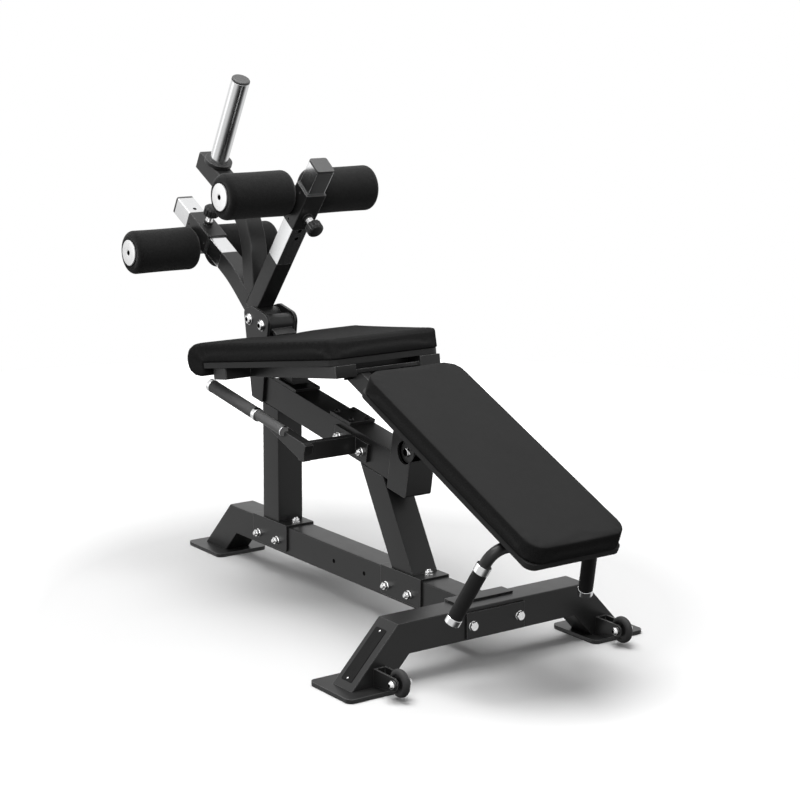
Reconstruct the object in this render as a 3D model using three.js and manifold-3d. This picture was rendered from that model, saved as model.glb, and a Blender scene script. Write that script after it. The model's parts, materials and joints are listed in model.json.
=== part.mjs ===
// Adjustable abdominal weight bench: a low steel frame, a wedge seat, a declined back pad
// with a U handle, and a swinging leg lever with four foam rollers and a weight horn.
// Millimetres. X runs along the bench to its low end, Y across it, Z is up, the floor is Z = 0.
import * as THREE from 'three';
import { mergeVertices } from 'three/addons/utils/BufferGeometryUtils.js';
import Module from 'manifold-3d';

const wasm = await Module();
wasm.setup();

// ---------------------------------------------------------------- general sizes
const GAP = 0.3; // between pieces that touch
const TUBE = 76; // side of the square frame tube
const TUBE_WALL = 3;
const TUBE_CORNER = 3; // outer corner radius of the frame tube
const ARM = 50; // side of the square lever tube
const ARM_WALL = 3;
const PLATE = 8; // heavy bracket plate
const SHEET = 4.7; // folded saddle plate
const ROUND_SIDES = 26; // facets of a large round
const SMALL_SIDES = 16; // facets of a small round

// ---------------------------------------------------------------- feet and lower frame
const FOOT_RUBBER = 3;
const FOOT_STEEL = 7.5;
const FOOT_TOP = FOOT_RUBBER + GAP + FOOT_STEEL;
const FOOT_CORNER = 16;
const REAR_FOOT_LENGTH = 171;
const REAR_FOOT_WIDTH = 156;
const FRONT_FOOT_LENGTH = 163;
const FRONT_FOOT_WIDTH = 158;
const LOW_AXIS_Z = 108; // height of the lower beam's and the crossbar's axis
const CROSSBAR_X = 614;
const LEG_BEND_Y = 261; // where the crossbar's axis turns down
const LEG_FOOT_Y = 352; // where a leg's axis meets its foot
const REAR_BEND_X = -453.5;
const REAR_LEG_FOOT_X = -548;
const FLANGE = 6; // end flange of the lower beam
const FLANGE_HALF_WIDTH = 85;
const FLANGE_LIP = 36; // how far the flange's lip lies over the crossbar
const BACKING_HEIGHT = 64; // clamp plate on the crossbar's outer face
const SADDLE_LENGTH = 165;
const SADDLE_DROP = 68; // how far a saddle's cheeks hang down the beam
const SADDLE_CORNER = 9;

// ---------------------------------------------------------------- uprights and upper beam
const REAR_UPRIGHT_X = -259;
const FRONT_UPRIGHT_X = 336; // centre of its foot
const FRONT_UPRIGHT_LEAN = 29.8; // degrees towards the rear
const BEAM_Z = 453.6; // height of the upper beam's axis at X = 0
const BEAM_FALL = 9.65; // degrees down towards the low end
const BEAM_REAR_X = -336;
const BEAM_FRONT_X = 281; // its square-cut front end, on its axis
const TOP_PLATE_X = 62;
const TOP_PLATE_LENGTH = 90;

// ---------------------------------------------------------------- lever pivot
const PIVOT_X = -345;
const PIVOT_Z = 680;
const PIVOT_SLEEVE_R = 28;
const PIVOT_BOLT_R = 10;
const SPACER_X = -284;
const SPACER_Z = 671;
const SPACER_R = 27;
const BOLT_HEAD_R = 15;
const BOLT_HEAD = 9;
const REST_TAB_WIDTH = 40; // tongue on the lever that rests under the spacer
const REST_TAB = 8;
const HANGER_WIDTH = 62;

// ---------------------------------------------------------------- leg lever
const FRONT_ARM_ANGLE = 52.5; // degrees above +X
const FRONT_ARM_END_X = -261.2; // where its painted tube ends and the plated one starts
const FRONT_ARM_END_Z = 849.5;
const FRONT_ARM_SLIDE = 316; // length of the plated tube
const REAR_ARM_ANGLE = 28.5; // degrees above -X, outer stretch
const REAR_ARM_ROOT_ANGLE = 40; // degrees above -X, stretch at the pivot
const REAR_ARM_END_X = -530;
const REAR_ARM_END_Z = 813.5;
const REAR_ARM_BEND_X = -475;
const REAR_ARM_BEND_R = 447;
const REAR_ARM_SLIDE = 264;
const MIDDLE_ARM_X = -384; // foot of the middle arm
const MIDDLE_ARM_Z = 766;
const MIDDLE_ARM_ANGLE = 95;
const MIDDLE_ARM_RISE = 80;
const MIDDLE_ARM_R = 190;
const MIDDLE_ARM_RUN = 170; // straight stretch that carries the horn
const HORN_R = 25;
const HORN_LENGTH = 257;
const HORN_FLANGE_R = 37.5;
const HORN_FLANGE = 12;
const HORN_ALONG = 110; // from the start of the middle arm's straight end
const CAP = 6; // thickness of a tube's end cap

// ---------------------------------------------------------------- roller carriers
const CARRIER_LENGTH = 114;
const CARRIER_WALL = 4.2;
const CARRIER_PLAY = 0.8; // between the carrier and the plated tube, each side
const SCREW_HOLE_R = 3.2; // holes for the screws of its inner slide pads
const SCREW_INSET = 12;
const UPPER_CARRIER_START = 129; // from the end of the painted tube
const LOWER_CARRIER_START = 73;
const AXLE_OFFSET = 48; // roller axle from the plated tube's axis
const AXLE_R = 12.5;
const AXLE_HALF = 225; // to the inner face of its end disc
const AXLE_DISC_R = 35;
const AXLE_DISC = 4.5;
const BOSS_R = 19;
const ROLLER_R = 61;
const ROLLER_INNER_Y = 38;
const ROLLER_EDGE = 15; // rounding of the foam's ends
const PIN_HOLE_R = 5.5;
const PIN_HOLE_PITCH = 26.5;
const PIN_STEPS = 3; // settings beside the one shown
const PIN_NUT_R = 13; // ring that the plunger screws into
const PIN_NUT = 9;
const PIN_NECK_R = 9; // the plunger's threaded neck
const PIN_BARREL = 28; // nut and neck together
const PIN_R = 5;
const KNOB_R = 17;
const KNOB = 26;

// ---------------------------------------------------------------- seat
const SEAT_Z = 684.2; // height of the seat's top plane at X = 0
const SEAT_RISE = 8.4; // degrees up towards the low end
const SEAT_FOAM = 48;
const SEAT_BOARD = 15;
const SEAT_FRONT = 215; // along the seat from X = 0
const SEAT_ROLL_R = 42; // round nose at the rear edge
const SEAT_ROLL_CENTRE = -271;
const SEAT_ROLL_BACK = -254;
const SEAT_REAR_HALF = 264;
const SEAT_FRONT_HALF = 160;
const SEAT_FRONT_CORNER = 26;
const SEAT_REAR_CORNER = 4;
const SEAT_NOTCH_HALF = 55; // clearance round the pivot plates
const SEAT_NOTCH_END = -234;
const BOARD_INSET = 3;
const SEAT_RAIL_WIDTH = 60;
const SEAT_RAIL_HEIGHT = 30;
const SEAT_RAIL_Y = 126.5;
const SEAT_CROSS_START = -236;
const SEAT_CROSS_HALF = 228;
const STOP_BAR_WIDTH = 14;
const STOP_BAR_HEIGHT = 9;
const STOP_BAR_BITE = 1.2; // depth of its rest face in the back pad's rails
const POST_SIDE = 50;
const POST_BASE_LENGTH = 108;
const POST_X = -195;

// ---------------------------------------------------------------- back pad
const HINGE_X = 343;
const HINGE_Z = 449;
const PAD_FALL = 23.9; // degrees down towards the low end
const PAD_HEIGHT = 175; // from the hinge up to the pad's top plane
const PAD_BEHIND_HINGE = 112; // pad length on the seat's side of the hinge
const PAD_LENGTH = 710;
const PAD_HALF = 138.6;
const PAD_CORNER = 45;
const PAD_BOARD_CORNER = 24;
const PAD_FOAM = 47.4;
const PAD_BOARD = 14.3;
const RAIL_WIDTH = 25;
const RAIL_HEIGHT = 50;
const RAIL_WALL = 2.5;
const RAIL_Y = 63.5;
const RAIL_FRONT = 511; // low end of the rails from the hinge
const RAIL_TAIL_TOP = 193; // their upper end on the top side
const RAIL_TAIL_BOTTOM = 231; // and on the bottom side
const LUG_INNER_Y = 20;
const LUG_R = 20;
const LUG_FOOT = 80; // length of the plate that ties the lugs and the rails
const HINGE_BOLT_R = 8;
const HINGE_BOSS_R = 15;
const HANDLE_R = 14;
const HANDLE_WALL = 2.5;
const HANDLE_ALONG = 484; // handle plane from the hinge
const HANDLE_DEPTH = 82; // handle's cross part below the pad's top plane
const HANDLE_CORNER_Y = 145;
const HANDLE_BEND_R = 48;
const HANDLE_SPLAY = 14.4; // degrees outward
const HANDLE_END_DEPTH = 280;
const GRIP_R = 17.5;
const GRIP_LENGTH = 138;
const COLLAR = 12; // room at each end of a grip for its metal collar

// ---------------------------------------------------------------- front bracket
const BRACKET_LENGTH = 78; // along the beam, from its front end
const BRACKET_DROP = 58; // below the beam's axis
const BRACKET_RISE = 95; // above it
const BRACKET_FRONT_RISE = 55; // top of its front plate above the beam's axis
const BRACKET_PLATE = 6;
const ACCESS_HOLE_R = 29;

// ---------------------------------------------------------------- side handle
const ARM_FLANGE_X = 126;
const ARM_FLANGE_LENGTH = 145;
const ARM_FLANGE_HEIGHT = 48;
const SIDE_BAR_X = 137;
const SIDE_BAR_Z = 433;
const SIDE_BAR_HEIGHT = 45;
const SIDE_BAR_WIDTH = 25;
const SIDE_GRIP_Y = -200;
const SIDE_LEG_ANGLE = 20; // degrees above -X
const SIDE_LEG_LENGTH = 207; // before the round tube cuts it off
const SIDE_TUBE_R = 12.5;
const SIDE_TUBE_X = 57; // free end of the round tube
const SIDE_TUBE_Z = 471;
const SIDE_TUBE_LENGTH = 350;
const SIDE_GRIP_START = 123; // from the free end

// ---------------------------------------------------------------- transport wheels
const WHEEL_X = 730;
const WHEEL_Y = 328;
const WHEEL_Z = 40.5;
const WHEEL_R = 32.5;
const WHEEL_WIDTH = 18;
const WHEEL_PLAY = 3.5;
const FORK_WALL = 4;
const FORK_ROOT_HALF = 21; // half height where it meets the leg
const FORK_NOSE_R = 14;

// ---------------------------------------------------------------- materials
const paint = new THREE.MeshStandardMaterial({ color: 0x1d1d1e, roughness: 0.55, metalness: 0.3 });
const rubber = new THREE.MeshStandardMaterial({ color: 0x151515, roughness: 0.85, metalness: 0 });
const foam = new THREE.MeshStandardMaterial({ color: 0x101010, roughness: 0.95, metalness: 0 });
const vinyl = new THREE.MeshStandardMaterial({ color: 0x161616, roughness: 0.6, metalness: 0 });
const plastic = new THREE.MeshStandardMaterial({ color: 0x202021, roughness: 0.5, metalness: 0 });
const chrome = new THREE.MeshStandardMaterial({ color: 0xd8d8da, roughness: 0.15, metalness: 1 });
const aluminium = new THREE.MeshStandardMaterial({ color: 0xc9cacc, roughness: 0.35, metalness: 1 });

const Y_AXIS = new THREE.Vector3(0, 1, 0);
const rad = THREE.MathUtils.degToRad;
const point = (x, z, y = 0) => new THREE.Vector3(x, y, z);
const heading = (degrees) => point(Math.cos(rad(degrees)), Math.sin(rad(degrees)));

// ================================================================ solids
/** The manifold solid of a closed geometry. */
function solidOf(geometry) {
  const bare = geometry.clone();
  bare.deleteAttribute('normal');
  bare.deleteAttribute('uv');
  const merged = mergeVertices(bare);
  return new wasm.Manifold(new wasm.Mesh({
    numProp: 3,
    vertProperties: merged.attributes.position.array,
    triVerts: merged.index.array,
  }));
}

/** The geometry of a manifold solid. */
function geometryOf(solid) {
  const mesh = solid.getMesh();
  const geometry = new THREE.BufferGeometry();
  geometry.setAttribute('position', new THREE.BufferAttribute(mesh.vertProperties, 3));
  geometry.setIndex(new THREE.BufferAttribute(mesh.triVerts, 1));
  geometry.computeVertexNormals();
  return geometry;
}

const join = (...solids) => solids.reduce((whole, next) => whole.add(next));
const cut = (solid, ...tools) => tools.reduce((rest, tool) => rest.subtract(tool), solid);

/** A shape with straight sides whose corners [x, y, radius] are rounded. */
function roundedShape(corners) {
  const shape = new THREE.Shape();
  corners.forEach(([x, y, radius = 0], index) => {
    const here = new THREE.Vector2(x, y);
    const before = new THREE.Vector2(...corners.at(index - 1)).sub(here).normalize();
    const after = new THREE.Vector2(...corners[(index + 1) % corners.length]).sub(here).normalize();
    const half = Math.acos(THREE.MathUtils.clamp(before.dot(after), -1, 1)) / 2;
    const start = here.clone().addScaledVector(before, radius / Math.tan(half));
    const draw = index === 0 ? 'moveTo' : 'lineTo';
    shape[draw](start.x, start.y);
    if (radius > 0) {
      const middle = before.clone().add(after).normalize();
      const centre = here.clone().addScaledVector(middle, radius / Math.sin(half));
      const end = here.clone().addScaledVector(after, radius / Math.tan(half));
      const clockwise = before.cross(after) > 0;
      const from = Math.atan2(start.y - centre.y, start.x - centre.x);
      const to = Math.atan2(end.y - centre.y, end.x - centre.x);
      shape.absarc(centre.x, centre.y, radius, from, to, clockwise);
    }
  });
  shape.closePath();
  return shape;
}

/** A centred rectangle with rounded corners. */
function rectangle(width, height, radius = 0) {
  const w = width / 2;
  const h = height / 2;
  return roundedShape([[-w, -h, radius], [w, -h, radius], [w, h, radius], [-w, h, radius]]);
}

/** A centred circle. */
function circle(radius) {
  const shape = new THREE.Shape();
  shape.absarc(0, 0, radius, 0, 2 * Math.PI, false);
  return shape;
}

/** A shape extruded from `from` to `to`, with its x axis along `across`. */
function bar(shape, from, to, across = Y_AXIS, facets = 1) {
  const direction = to.clone().sub(from);
  const depth = direction.length();
  direction.normalize();
  const geometry = new THREE.ExtrudeGeometry(shape, { depth, bevelEnabled: false, curveSegments: facets });
  const up = direction.clone().cross(across);
  geometry.applyMatrix4(new THREE.Matrix4().makeBasis(across, up, direction).setPosition(from));
  return solidOf(geometry);
}

/** A box between two corners. */
function block(x0, x1, y0, y1, z0, z1) {
  const geometry = new THREE.BoxGeometry(x1 - x0, y1 - y0, z1 - z0);
  geometry.translate((x0 + x1) / 2, (y0 + y1) / 2, (z0 + z1) / 2);
  return solidOf(geometry);
}

/** An outline in the X-Z plane, extruded across the bench from y0 to y1. */
function sidePlate(corners, y0, y1, facets = 3) {
  const geometry = new THREE.ExtrudeGeometry(roundedShape(corners), {
    depth: y1 - y0, bevelEnabled: false, curveSegments: facets,
  });
  geometry.rotateX(Math.PI / 2);
  geometry.translate(0, y1, 0);
  return solidOf(geometry);
}

/** An outline in the X-Y plane, extruded upward from z0 to z1. */
function planPlate(corners, z0, z1, facets = 3) {
  const geometry = new THREE.ExtrudeGeometry(roundedShape(corners), {
    depth: z1 - z0, bevelEnabled: false, curveSegments: facets,
  });
  geometry.translate(0, 0, z0);
  return solidOf(geometry);
}

/** A round rod across the bench from y0 to y1 through (x, z). */
function crossRod(x, z, radius, y0, y1, sides = SMALL_SIDES) {
  const geometry = new THREE.CylinderGeometry(radius, radius, y1 - y0, sides);
  geometry.translate(x, (y0 + y1) / 2, z);
  return solidOf(geometry);
}

/** A profile of [radius, height] turned about the line from `base` along `direction`. */
function turned(profile, base = point(0, 0), direction = Y_AXIS, sides = ROUND_SIDES) {
  const points = profile.map(([radius, height]) => new THREE.Vector2(radius, height));
  const geometry = new THREE.LatheGeometry(points, sides);
  const turn = new THREE.Quaternion().setFromUnitVectors(Y_AXIS, direction.clone().normalize());
  geometry.applyQuaternion(turn);
  geometry.translate(base.x, base.y, base.z);
  return solidOf(geometry);
}

/** Quarter-round profile points about (r, h), from one angle to another in degrees. */
function arcPoints(r, h, radius, from, to, steps = 4) {
  return Array.from({ length: steps + 1 }, (_, index) => {
    const angle = rad(from + (to - from) * index / steps);
    return [r + radius * Math.cos(angle), h + radius * Math.sin(angle)];
  });
}

/** Everything on the side of a plane that its normal points to. */
function halfSpace(at, normal) {
  const reach = 1500;
  const geometry = new THREE.BoxGeometry(reach, reach, reach);
  geometry.translate(0, 0, reach / 2);
  const turn = new THREE.Quaternion().setFromUnitVectors(new THREE.Vector3(0, 0, 1), normal.clone().normalize());
  geometry.applyQuaternion(turn);
  geometry.translate(at.x, at.y, at.z);
  return solidOf(geometry);
}

/** A section swept along a line of points that lie in one plane square to `across`: mitred at
    each point, and cut square or along the given planes at the ends. */
function sweep(shape, points, { across = Y_AXIS, firstCut, lastCut, overrun = 0, facets = 1 } = {}) {
  const last = points.length - 1;
  const line = points.map((at) => at.clone());
  const directions = line.slice(1).map((to, index) => to.clone().sub(line[index]).normalize());
  line[0].addScaledVector(directions[0], -overrun);
  line[last].addScaledVector(directions[last - 1], overrun);
  const planes = line.map((_, index) => {
    const before = directions[Math.max(index - 1, 0)];
    const after = directions[Math.min(index, last - 1)];
    return before.clone().add(after);
  });
  if (firstCut) planes[0] = firstCut;
  if (lastCut) planes[last] = lastCut;
  const geometry = new THREE.ExtrudeGeometry(shape, {
    depth: last, steps: last, bevelEnabled: false, curveSegments: facets,
  });
  const position = geometry.getAttribute('position');
  for (let index = 0; index < position.count; index += 1) {
    const ring = Math.round(position.getZ(index));
    const direction = directions[Math.min(ring, last - 1)];
    const offset = across.clone().multiplyScalar(position.getX(index))
      .addScaledVector(direction.clone().cross(across), position.getY(index));
    offset.addScaledVector(direction, -offset.dot(planes[ring]) / direction.dot(planes[ring]));
    offset.add(line[ring]);
    position.setXYZ(index, offset.x, offset.y, offset.z);
  }
  return solidOf(geometry);
}

/** An open-ended rectangular tube along a line of points. */
function tube(width, height, wall, corner, points, options = {}) {
  const outer = sweep(rectangle(width, height, corner), points, options);
  const bore = sweep(rectangle(width - 2 * wall, height - 2 * wall), points, { ...options, overrun: 5 });
  return cut(outer, bore);
}

/** Points along the line through corners [x, z, radius], with each inner corner turned into an arc. */
function bentLine(corners, steps = 6) {
  return corners.flatMap(([x, z, radius = 0], index) => {
    const corner = point(x, z);
    if (radius === 0) {
      return [corner];
    }
    const back = point(...corners[index - 1].slice(0, 2)).sub(corner).normalize();
    const ahead = point(...corners[index + 1].slice(0, 2)).sub(corner).normalize();
    const half = back.angleTo(ahead) / 2;
    const centre = corner.clone().addScaledVector(back.clone().add(ahead).normalize(), radius / Math.sin(half));
    const arm = corner.clone().addScaledVector(back, radius / Math.tan(half)).sub(centre);
    const pole = ahead.clone().cross(back).normalize();
    return Array.from({ length: steps + 1 }, (_, step) => (
      arm.clone().applyAxisAngle(pole, (Math.PI - 2 * half) * step / steps).add(centre)
    ));
  });
}

// ================================================================ model tree
const bench = new THREE.Group();

/** Adds a solid to a group as a named mesh. */
function addPart(name, solid, material, group = bench) {
  const mesh = new THREE.Mesh(geometryOf(solid), material);
  mesh.name = name;
  group.add(mesh);
  return mesh;
}

const SIDES = [['left', -1], ['right', 1]];
const LOW_TOP = LOW_AXIS_Z + TUBE / 2;
const SADDLE_TOP = LOW_TOP + GAP + SHEET;
const PLATE_INNER = TUBE / 2 + GAP; // inner face of a plate that lies on a frame tube
const PLATE_OUTER = PLATE_INNER + PLATE;
const beamAxis = (x) => point(x, BEAM_Z - x * Math.tan(rad(BEAM_FALL)));
const beamUp = heading(90 - BEAM_FALL);
const beamAlong = heading(-BEAM_FALL);

// ================================================================ feet
/** A rubber pad and the steel plate on it, centred on (x, y). */
function addFoot(place, x, y, length, width) {
  const corners = (inset) => {
    const l = length / 2 - inset;
    const w = width / 2 - inset;
    const r = FOOT_CORNER - inset;
    return [[x - l, y - w, r], [x + l, y - w, r], [x + l, y + w, r], [x - l, y + w, r]];
  };
  addPart(`${place}foot_pad`, planPlate(corners(1), 0, FOOT_RUBBER), rubber);
  addPart(`${place}foot_plate`, planPlate(corners(0), FOOT_RUBBER + GAP, FOOT_TOP), paint);
}

addFoot('rear_', REAR_LEG_FOOT_X - 2, 0, REAR_FOOT_LENGTH, REAR_FOOT_WIDTH);
SIDES.forEach(([side, sign]) => {
  addFoot(`${side}_`, CROSSBAR_X - 5, sign * (LEG_FOOT_Y + 5), FRONT_FOOT_LENGTH, FRONT_FOOT_WIDTH);
});

// ================================================================ lower frame
const FLANGE_X = CROSSBAR_X - TUBE / 2 - GAP - FLANGE; // rear face of the end flange
const floorCut = point(0, -1);

function lowerBeam() {
  const points = [
    point(REAR_LEG_FOOT_X, FOOT_TOP + GAP),
    point(REAR_BEND_X, LOW_AXIS_Z),
    point(FLANGE_X - GAP, LOW_AXIS_Z),
  ];
  return tube(TUBE, TUBE, TUBE_WALL, TUBE_CORNER, points, { firstCut: floorCut });
}

function frontCrossbar() {
  const points = [
    point(CROSSBAR_X, FOOT_TOP + GAP, -LEG_FOOT_Y),
    point(CROSSBAR_X, LOW_AXIS_Z, -LEG_BEND_Y),
    point(CROSSBAR_X, LOW_AXIS_Z, LEG_BEND_Y),
    point(CROSSBAR_X, FOOT_TOP + GAP, LEG_FOOT_Y),
  ];
  const across = new THREE.Vector3(1, 0, 0);
  return tube(TUBE, TUBE, TUBE_WALL, TUBE_CORNER, points, { across, firstCut: floorCut, lastCut: floorCut });
}

/** The flange on the lower beam's end, with a lip over the crossbar. */
function beamEndFlange() {
  const wide = FLANGE_HALF_WIDTH;
  const flange = block(FLANGE_X, FLANGE_X + FLANGE, -wide, wide, LOW_AXIS_Z - TUBE / 2 + 2, SADDLE_TOP);
  const lip = block(FLANGE_X, CROSSBAR_X - TUBE / 2 + FLANGE_LIP, -wide, wide, LOW_TOP + GAP, SADDLE_TOP);
  return join(flange, lip);
}

/** The clamp plate on the crossbar's outer face. */
function clampPlate() {
  const face = CROSSBAR_X + TUBE / 2 + GAP;
  const low = LOW_AXIS_Z - TUBE / 2 + 3;
  return block(face, face + SHEET, -FLANGE_HALF_WIDTH, FLANGE_HALF_WIDTH, low, low + BACKING_HEIGHT);
}

/** A folded plate over the lower beam that an upright stands on. */
function saddle(x) {
  const half = SADDLE_LENGTH / 2;
  const cheek = [
    [x - half, SADDLE_TOP, 0],
    [x - half, LOW_TOP - SADDLE_DROP, SADDLE_CORNER],
    [x + half, LOW_TOP - SADDLE_DROP, SADDLE_CORNER],
    [x + half, SADDLE_TOP, 0],
  ];
  const outer = sidePlate(cheek, -PLATE_INNER - SHEET, PLATE_INNER + SHEET);
  const room = block(x - SADDLE_LENGTH, x + SADDLE_LENGTH, -PLATE_INNER, PLATE_INNER, 0, LOW_TOP + GAP);
  return cut(outer, room);
}

/** A frame tube from a saddle up to the underside of the upper beam. */
function upright(footX, lean) {
  const foot = point(footX, SADDLE_TOP + GAP);
  const top = foot.clone().addScaledVector(heading(90 + lean), 2 * BEAM_Z);
  const whole = tube(TUBE, TUBE, TUBE_WALL, TUBE_CORNER, [foot, top], { firstCut: floorCut });
  const underside = beamAxis(0).addScaledVector(beamUp, -TUBE / 2 - GAP);
  return cut(whole, halfSpace(underside, beamUp));
}

addPart('lower_beam', lowerBeam(), paint);
addPart('front_crossbar', frontCrossbar(), paint);
addPart('beam_end_flange', beamEndFlange(), paint);
addPart('crossbar_clamp_plate', clampPlate(), paint);
addPart('rear_saddle', saddle(REAR_UPRIGHT_X), paint);
addPart('front_saddle', saddle(FRONT_UPRIGHT_X), paint);
addPart('rear_upright', upright(REAR_UPRIGHT_X, 0), paint);
addPart('front_upright', upright(FRONT_UPRIGHT_X, FRONT_UPRIGHT_LEAN), paint);

// ================================================================ upper beam
const lengthwise = new THREE.Vector3(1, 0, 0);

function upperBeam() {
  const ends = [beamAxis(BEAM_REAR_X), beamAxis(BEAM_FRONT_X)];
  return tube(TUBE, TUBE, TUBE_WALL, TUBE_CORNER, ends, { firstCut: lengthwise.clone().negate() });
}

/** A flat plate on top of the upper beam, centred over x. */
function plateOnBeam(x, length, thick) {
  const middle = beamAxis(x).addScaledVector(beamUp, TUBE / 2 + GAP + thick / 2);
  const from = middle.clone().addScaledVector(beamAlong, -length / 2);
  const to = middle.clone().addScaledVector(beamAlong, length / 2);
  return bar(rectangle(TUBE, thick), from, to);
}

addPart('upper_beam', upperBeam(), paint);
addPart('beam_top_plate', plateOnBeam(TOP_PLATE_X, TOP_PLATE_LENGTH, PLATE), paint);

// ================================================================ lever pivot
const beamUnder = (x) => beamAxis(x).addScaledVector(beamUp, -TUBE / 2).z;

/** One of the two plates that carry the lever, tapering down to the beam. */
function pivotPlate(sign) {
  const corners = [
    [BEAM_REAR_X, beamUnder(BEAM_REAR_X), 3],
    [BEAM_REAR_X + 51, beamUnder(BEAM_REAR_X + 51), 3],
    [SPACER_X + SPACER_R + 6, SPACER_Z + SPACER_R, 24],
    [PIVOT_X + 12, PIVOT_Z + PIVOT_SLEEVE_R + 8, 22],
    [PIVOT_X - PIVOT_SLEEVE_R, PIVOT_Z + PIVOT_SLEEVE_R - 4, 15],
  ];
  const y0 = sign < 0 ? -PLATE_OUTER : PLATE_INNER;
  const bolts = [[PIVOT_X, PIVOT_Z], [SPACER_X, SPACER_Z]];
  const holes = bolts.map(([x, z]) => crossRod(x, z, PIVOT_BOLT_R + GAP, y0 - 1, y0 + PLATE + 1));
  return cut(sidePlate(corners, y0, y0 + PLATE), ...holes);
}

/** A bolt across both pivot plates with a domed head outside each. */
function crossBolt(x, z, radius, halfGrip, headRadius, head) {
  const profile = [
    [0, -halfGrip - head],
    [headRadius * 0.55, -halfGrip - head],
    [headRadius, -halfGrip - head * 0.35],
    [headRadius, -halfGrip],
    [radius, -halfGrip],
    [radius, halfGrip],
    [headRadius, halfGrip],
    [headRadius, halfGrip + head * 0.35],
    [headRadius * 0.55, halfGrip + head],
    [0, halfGrip + head],
  ];
  return turned(profile, point(x, z), Y_AXIS, SMALL_SIDES);
}

/** The spacer between the pivot plates and the plate that slopes from it to hold the seat's rear. */
function seatHanger() {
  const half = PLATE_INNER - 2 * GAP;
  const ring = cut(
    crossRod(SPACER_X, SPACER_Z, SPACER_R, -half, half, ROUND_SIDES),
    crossRod(SPACER_X, SPACER_Z, PIVOT_BOLT_R + GAP, -half - 1, half + 1),
  );
  const start = point(SPACER_X + SPACER_R - 6, SPACER_Z - 9);
  const bend = seatPoint(SEAT_CROSS_START - 6, SEAT_FOAM + SEAT_BOARD - 38);
  const end = seatPoint(SEAT_CROSS_START - 6, SEAT_FOAM + SEAT_BOARD + SEAT_RAIL_HEIGHT);
  const knee = point(bend.x - PLATE / 2 - GAP, start.z - 12);
  const foot = point(bend.x - PLATE / 2 - GAP, end.z);
  return join(ring, sweep(rectangle(HANGER_WIDTH, PLATE), [start, knee, foot]));
}

const seatAlong = heading(SEAT_RISE);
const seatUp = heading(90 + SEAT_RISE);

/** A point of the seat: s along it from X = 0, d below its top plane. */
function seatPoint(s, d) {
  return point(0, SEAT_Z).addScaledVector(seatAlong, s).addScaledVector(seatUp, -d);
}

SIDES.forEach(([side, sign]) => addPart(`pivot_plate_${side}`, pivotPlate(sign), paint));
addPart('seat_hanger', seatHanger(), paint);
addPart('lever_pivot_bolt', crossBolt(PIVOT_X, PIVOT_Z, PIVOT_BOLT_R, PLATE_OUTER + GAP, BOLT_HEAD_R, BOLT_HEAD), chrome);
addPart('spacer_bolt', crossBolt(SPACER_X, SPACER_Z, PIVOT_BOLT_R, PLATE_OUTER + GAP, BOLT_HEAD_R, BOLT_HEAD), chrome);

// ================================================================ leg lever
const frontAlong = heading(FRONT_ARM_ANGLE);
const rearAlong = heading(180 - REAR_ARM_ANGLE);
const frontEnd = point(FRONT_ARM_END_X, FRONT_ARM_END_Z);
const rearEnd = point(REAR_ARM_END_X, REAR_ARM_END_Z);

/** The sleeve that turns on the pivot bolt, with the tongue that rests under the spacer. */
function pivotSleeve() {
  const half = PLATE_INNER - 2 * GAP;
  const barrel = crossRod(PIVOT_X, PIVOT_Z, PIVOT_SLEEVE_R, -half, half, ROUND_SIDES);
  const top = SPACER_Z - SPACER_R - GAP;
  const tongue = sidePlate([
    [PIVOT_X, top],
    [PIVOT_X, top - REST_TAB],
    [SPACER_X + 8, top - REST_TAB, 3],
    [SPACER_X + 8, top],
  ], -REST_TAB_WIDTH / 2, REST_TAB_WIDTH / 2);
  const webs = sidePlate([
    [PIVOT_X - PIVOT_SLEEVE_R * 0.6, PIVOT_Z - PIVOT_SLEEVE_R * 0.6],
    [PIVOT_X, top - REST_TAB],
    [PIVOT_X + PIVOT_SLEEVE_R * 0.8, top - REST_TAB],
    [PIVOT_X + PIVOT_SLEEVE_R * 0.6, PIVOT_Z - PIVOT_SLEEVE_R * 0.6],
  ], -REST_TAB_WIDTH / 2, REST_TAB_WIDTH / 2);
  const bore = crossRod(PIVOT_X, PIVOT_Z, PIVOT_BOLT_R + GAP, -half - 1, half + 1);
  return cut(join(barrel, tongue, webs), bore);
}

const sleeveRoom = () => crossRod(PIVOT_X, PIVOT_Z, PIVOT_SLEEVE_R + GAP, -TUBE, TUBE, ROUND_SIDES);

/** The straight stretch of the front arm; grow widens it to a cutting tool. */
function frontArmBody(grow = 0) {
  const reach = frontEnd.clone().sub(point(PIVOT_X, PIVOT_Z)).dot(frontAlong);
  const root = frontEnd.clone().addScaledVector(frontAlong, -reach - 4);
  return { root, solid: bar(rectangle(ARM + 2 * grow, ARM + 2 * grow, TUBE_CORNER), root, frontEnd) };
}

function frontArm() {
  const { root, solid } = frontArmBody();
  const inside = ARM - 2 * ARM_WALL;
  const reach = (end, by) => end.clone().addScaledVector(frontAlong, by);
  return cut(solid, bar(rectangle(inside, inside), reach(root, -5), reach(frontEnd, 5)), sleeveRoom());
}

/** The rear arm's line: up from the pivot, then bent out flatter. */
function rearArmLine() {
  const run = (rearEnd.x - REAR_ARM_BEND_X) / rearAlong.x;
  const bend = rearEnd.clone().addScaledVector(rearAlong, -run);
  const back = heading(-REAR_ARM_ROOT_ANGLE);
  const root = bend.clone().addScaledVector(back, (PIVOT_X - 8 - bend.x) / back.x);
  return bentLine([[root.x, root.z], [bend.x, bend.z, REAR_ARM_BEND_R], [rearEnd.x, rearEnd.z]], 4);
}

function rearArm() {
  const whole = tube(ARM, ARM, ARM_WALL, TUBE_CORNER, rearArmLine());
  return cut(whole, sleeveRoom(), frontArmBody(GAP).solid);
}

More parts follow.
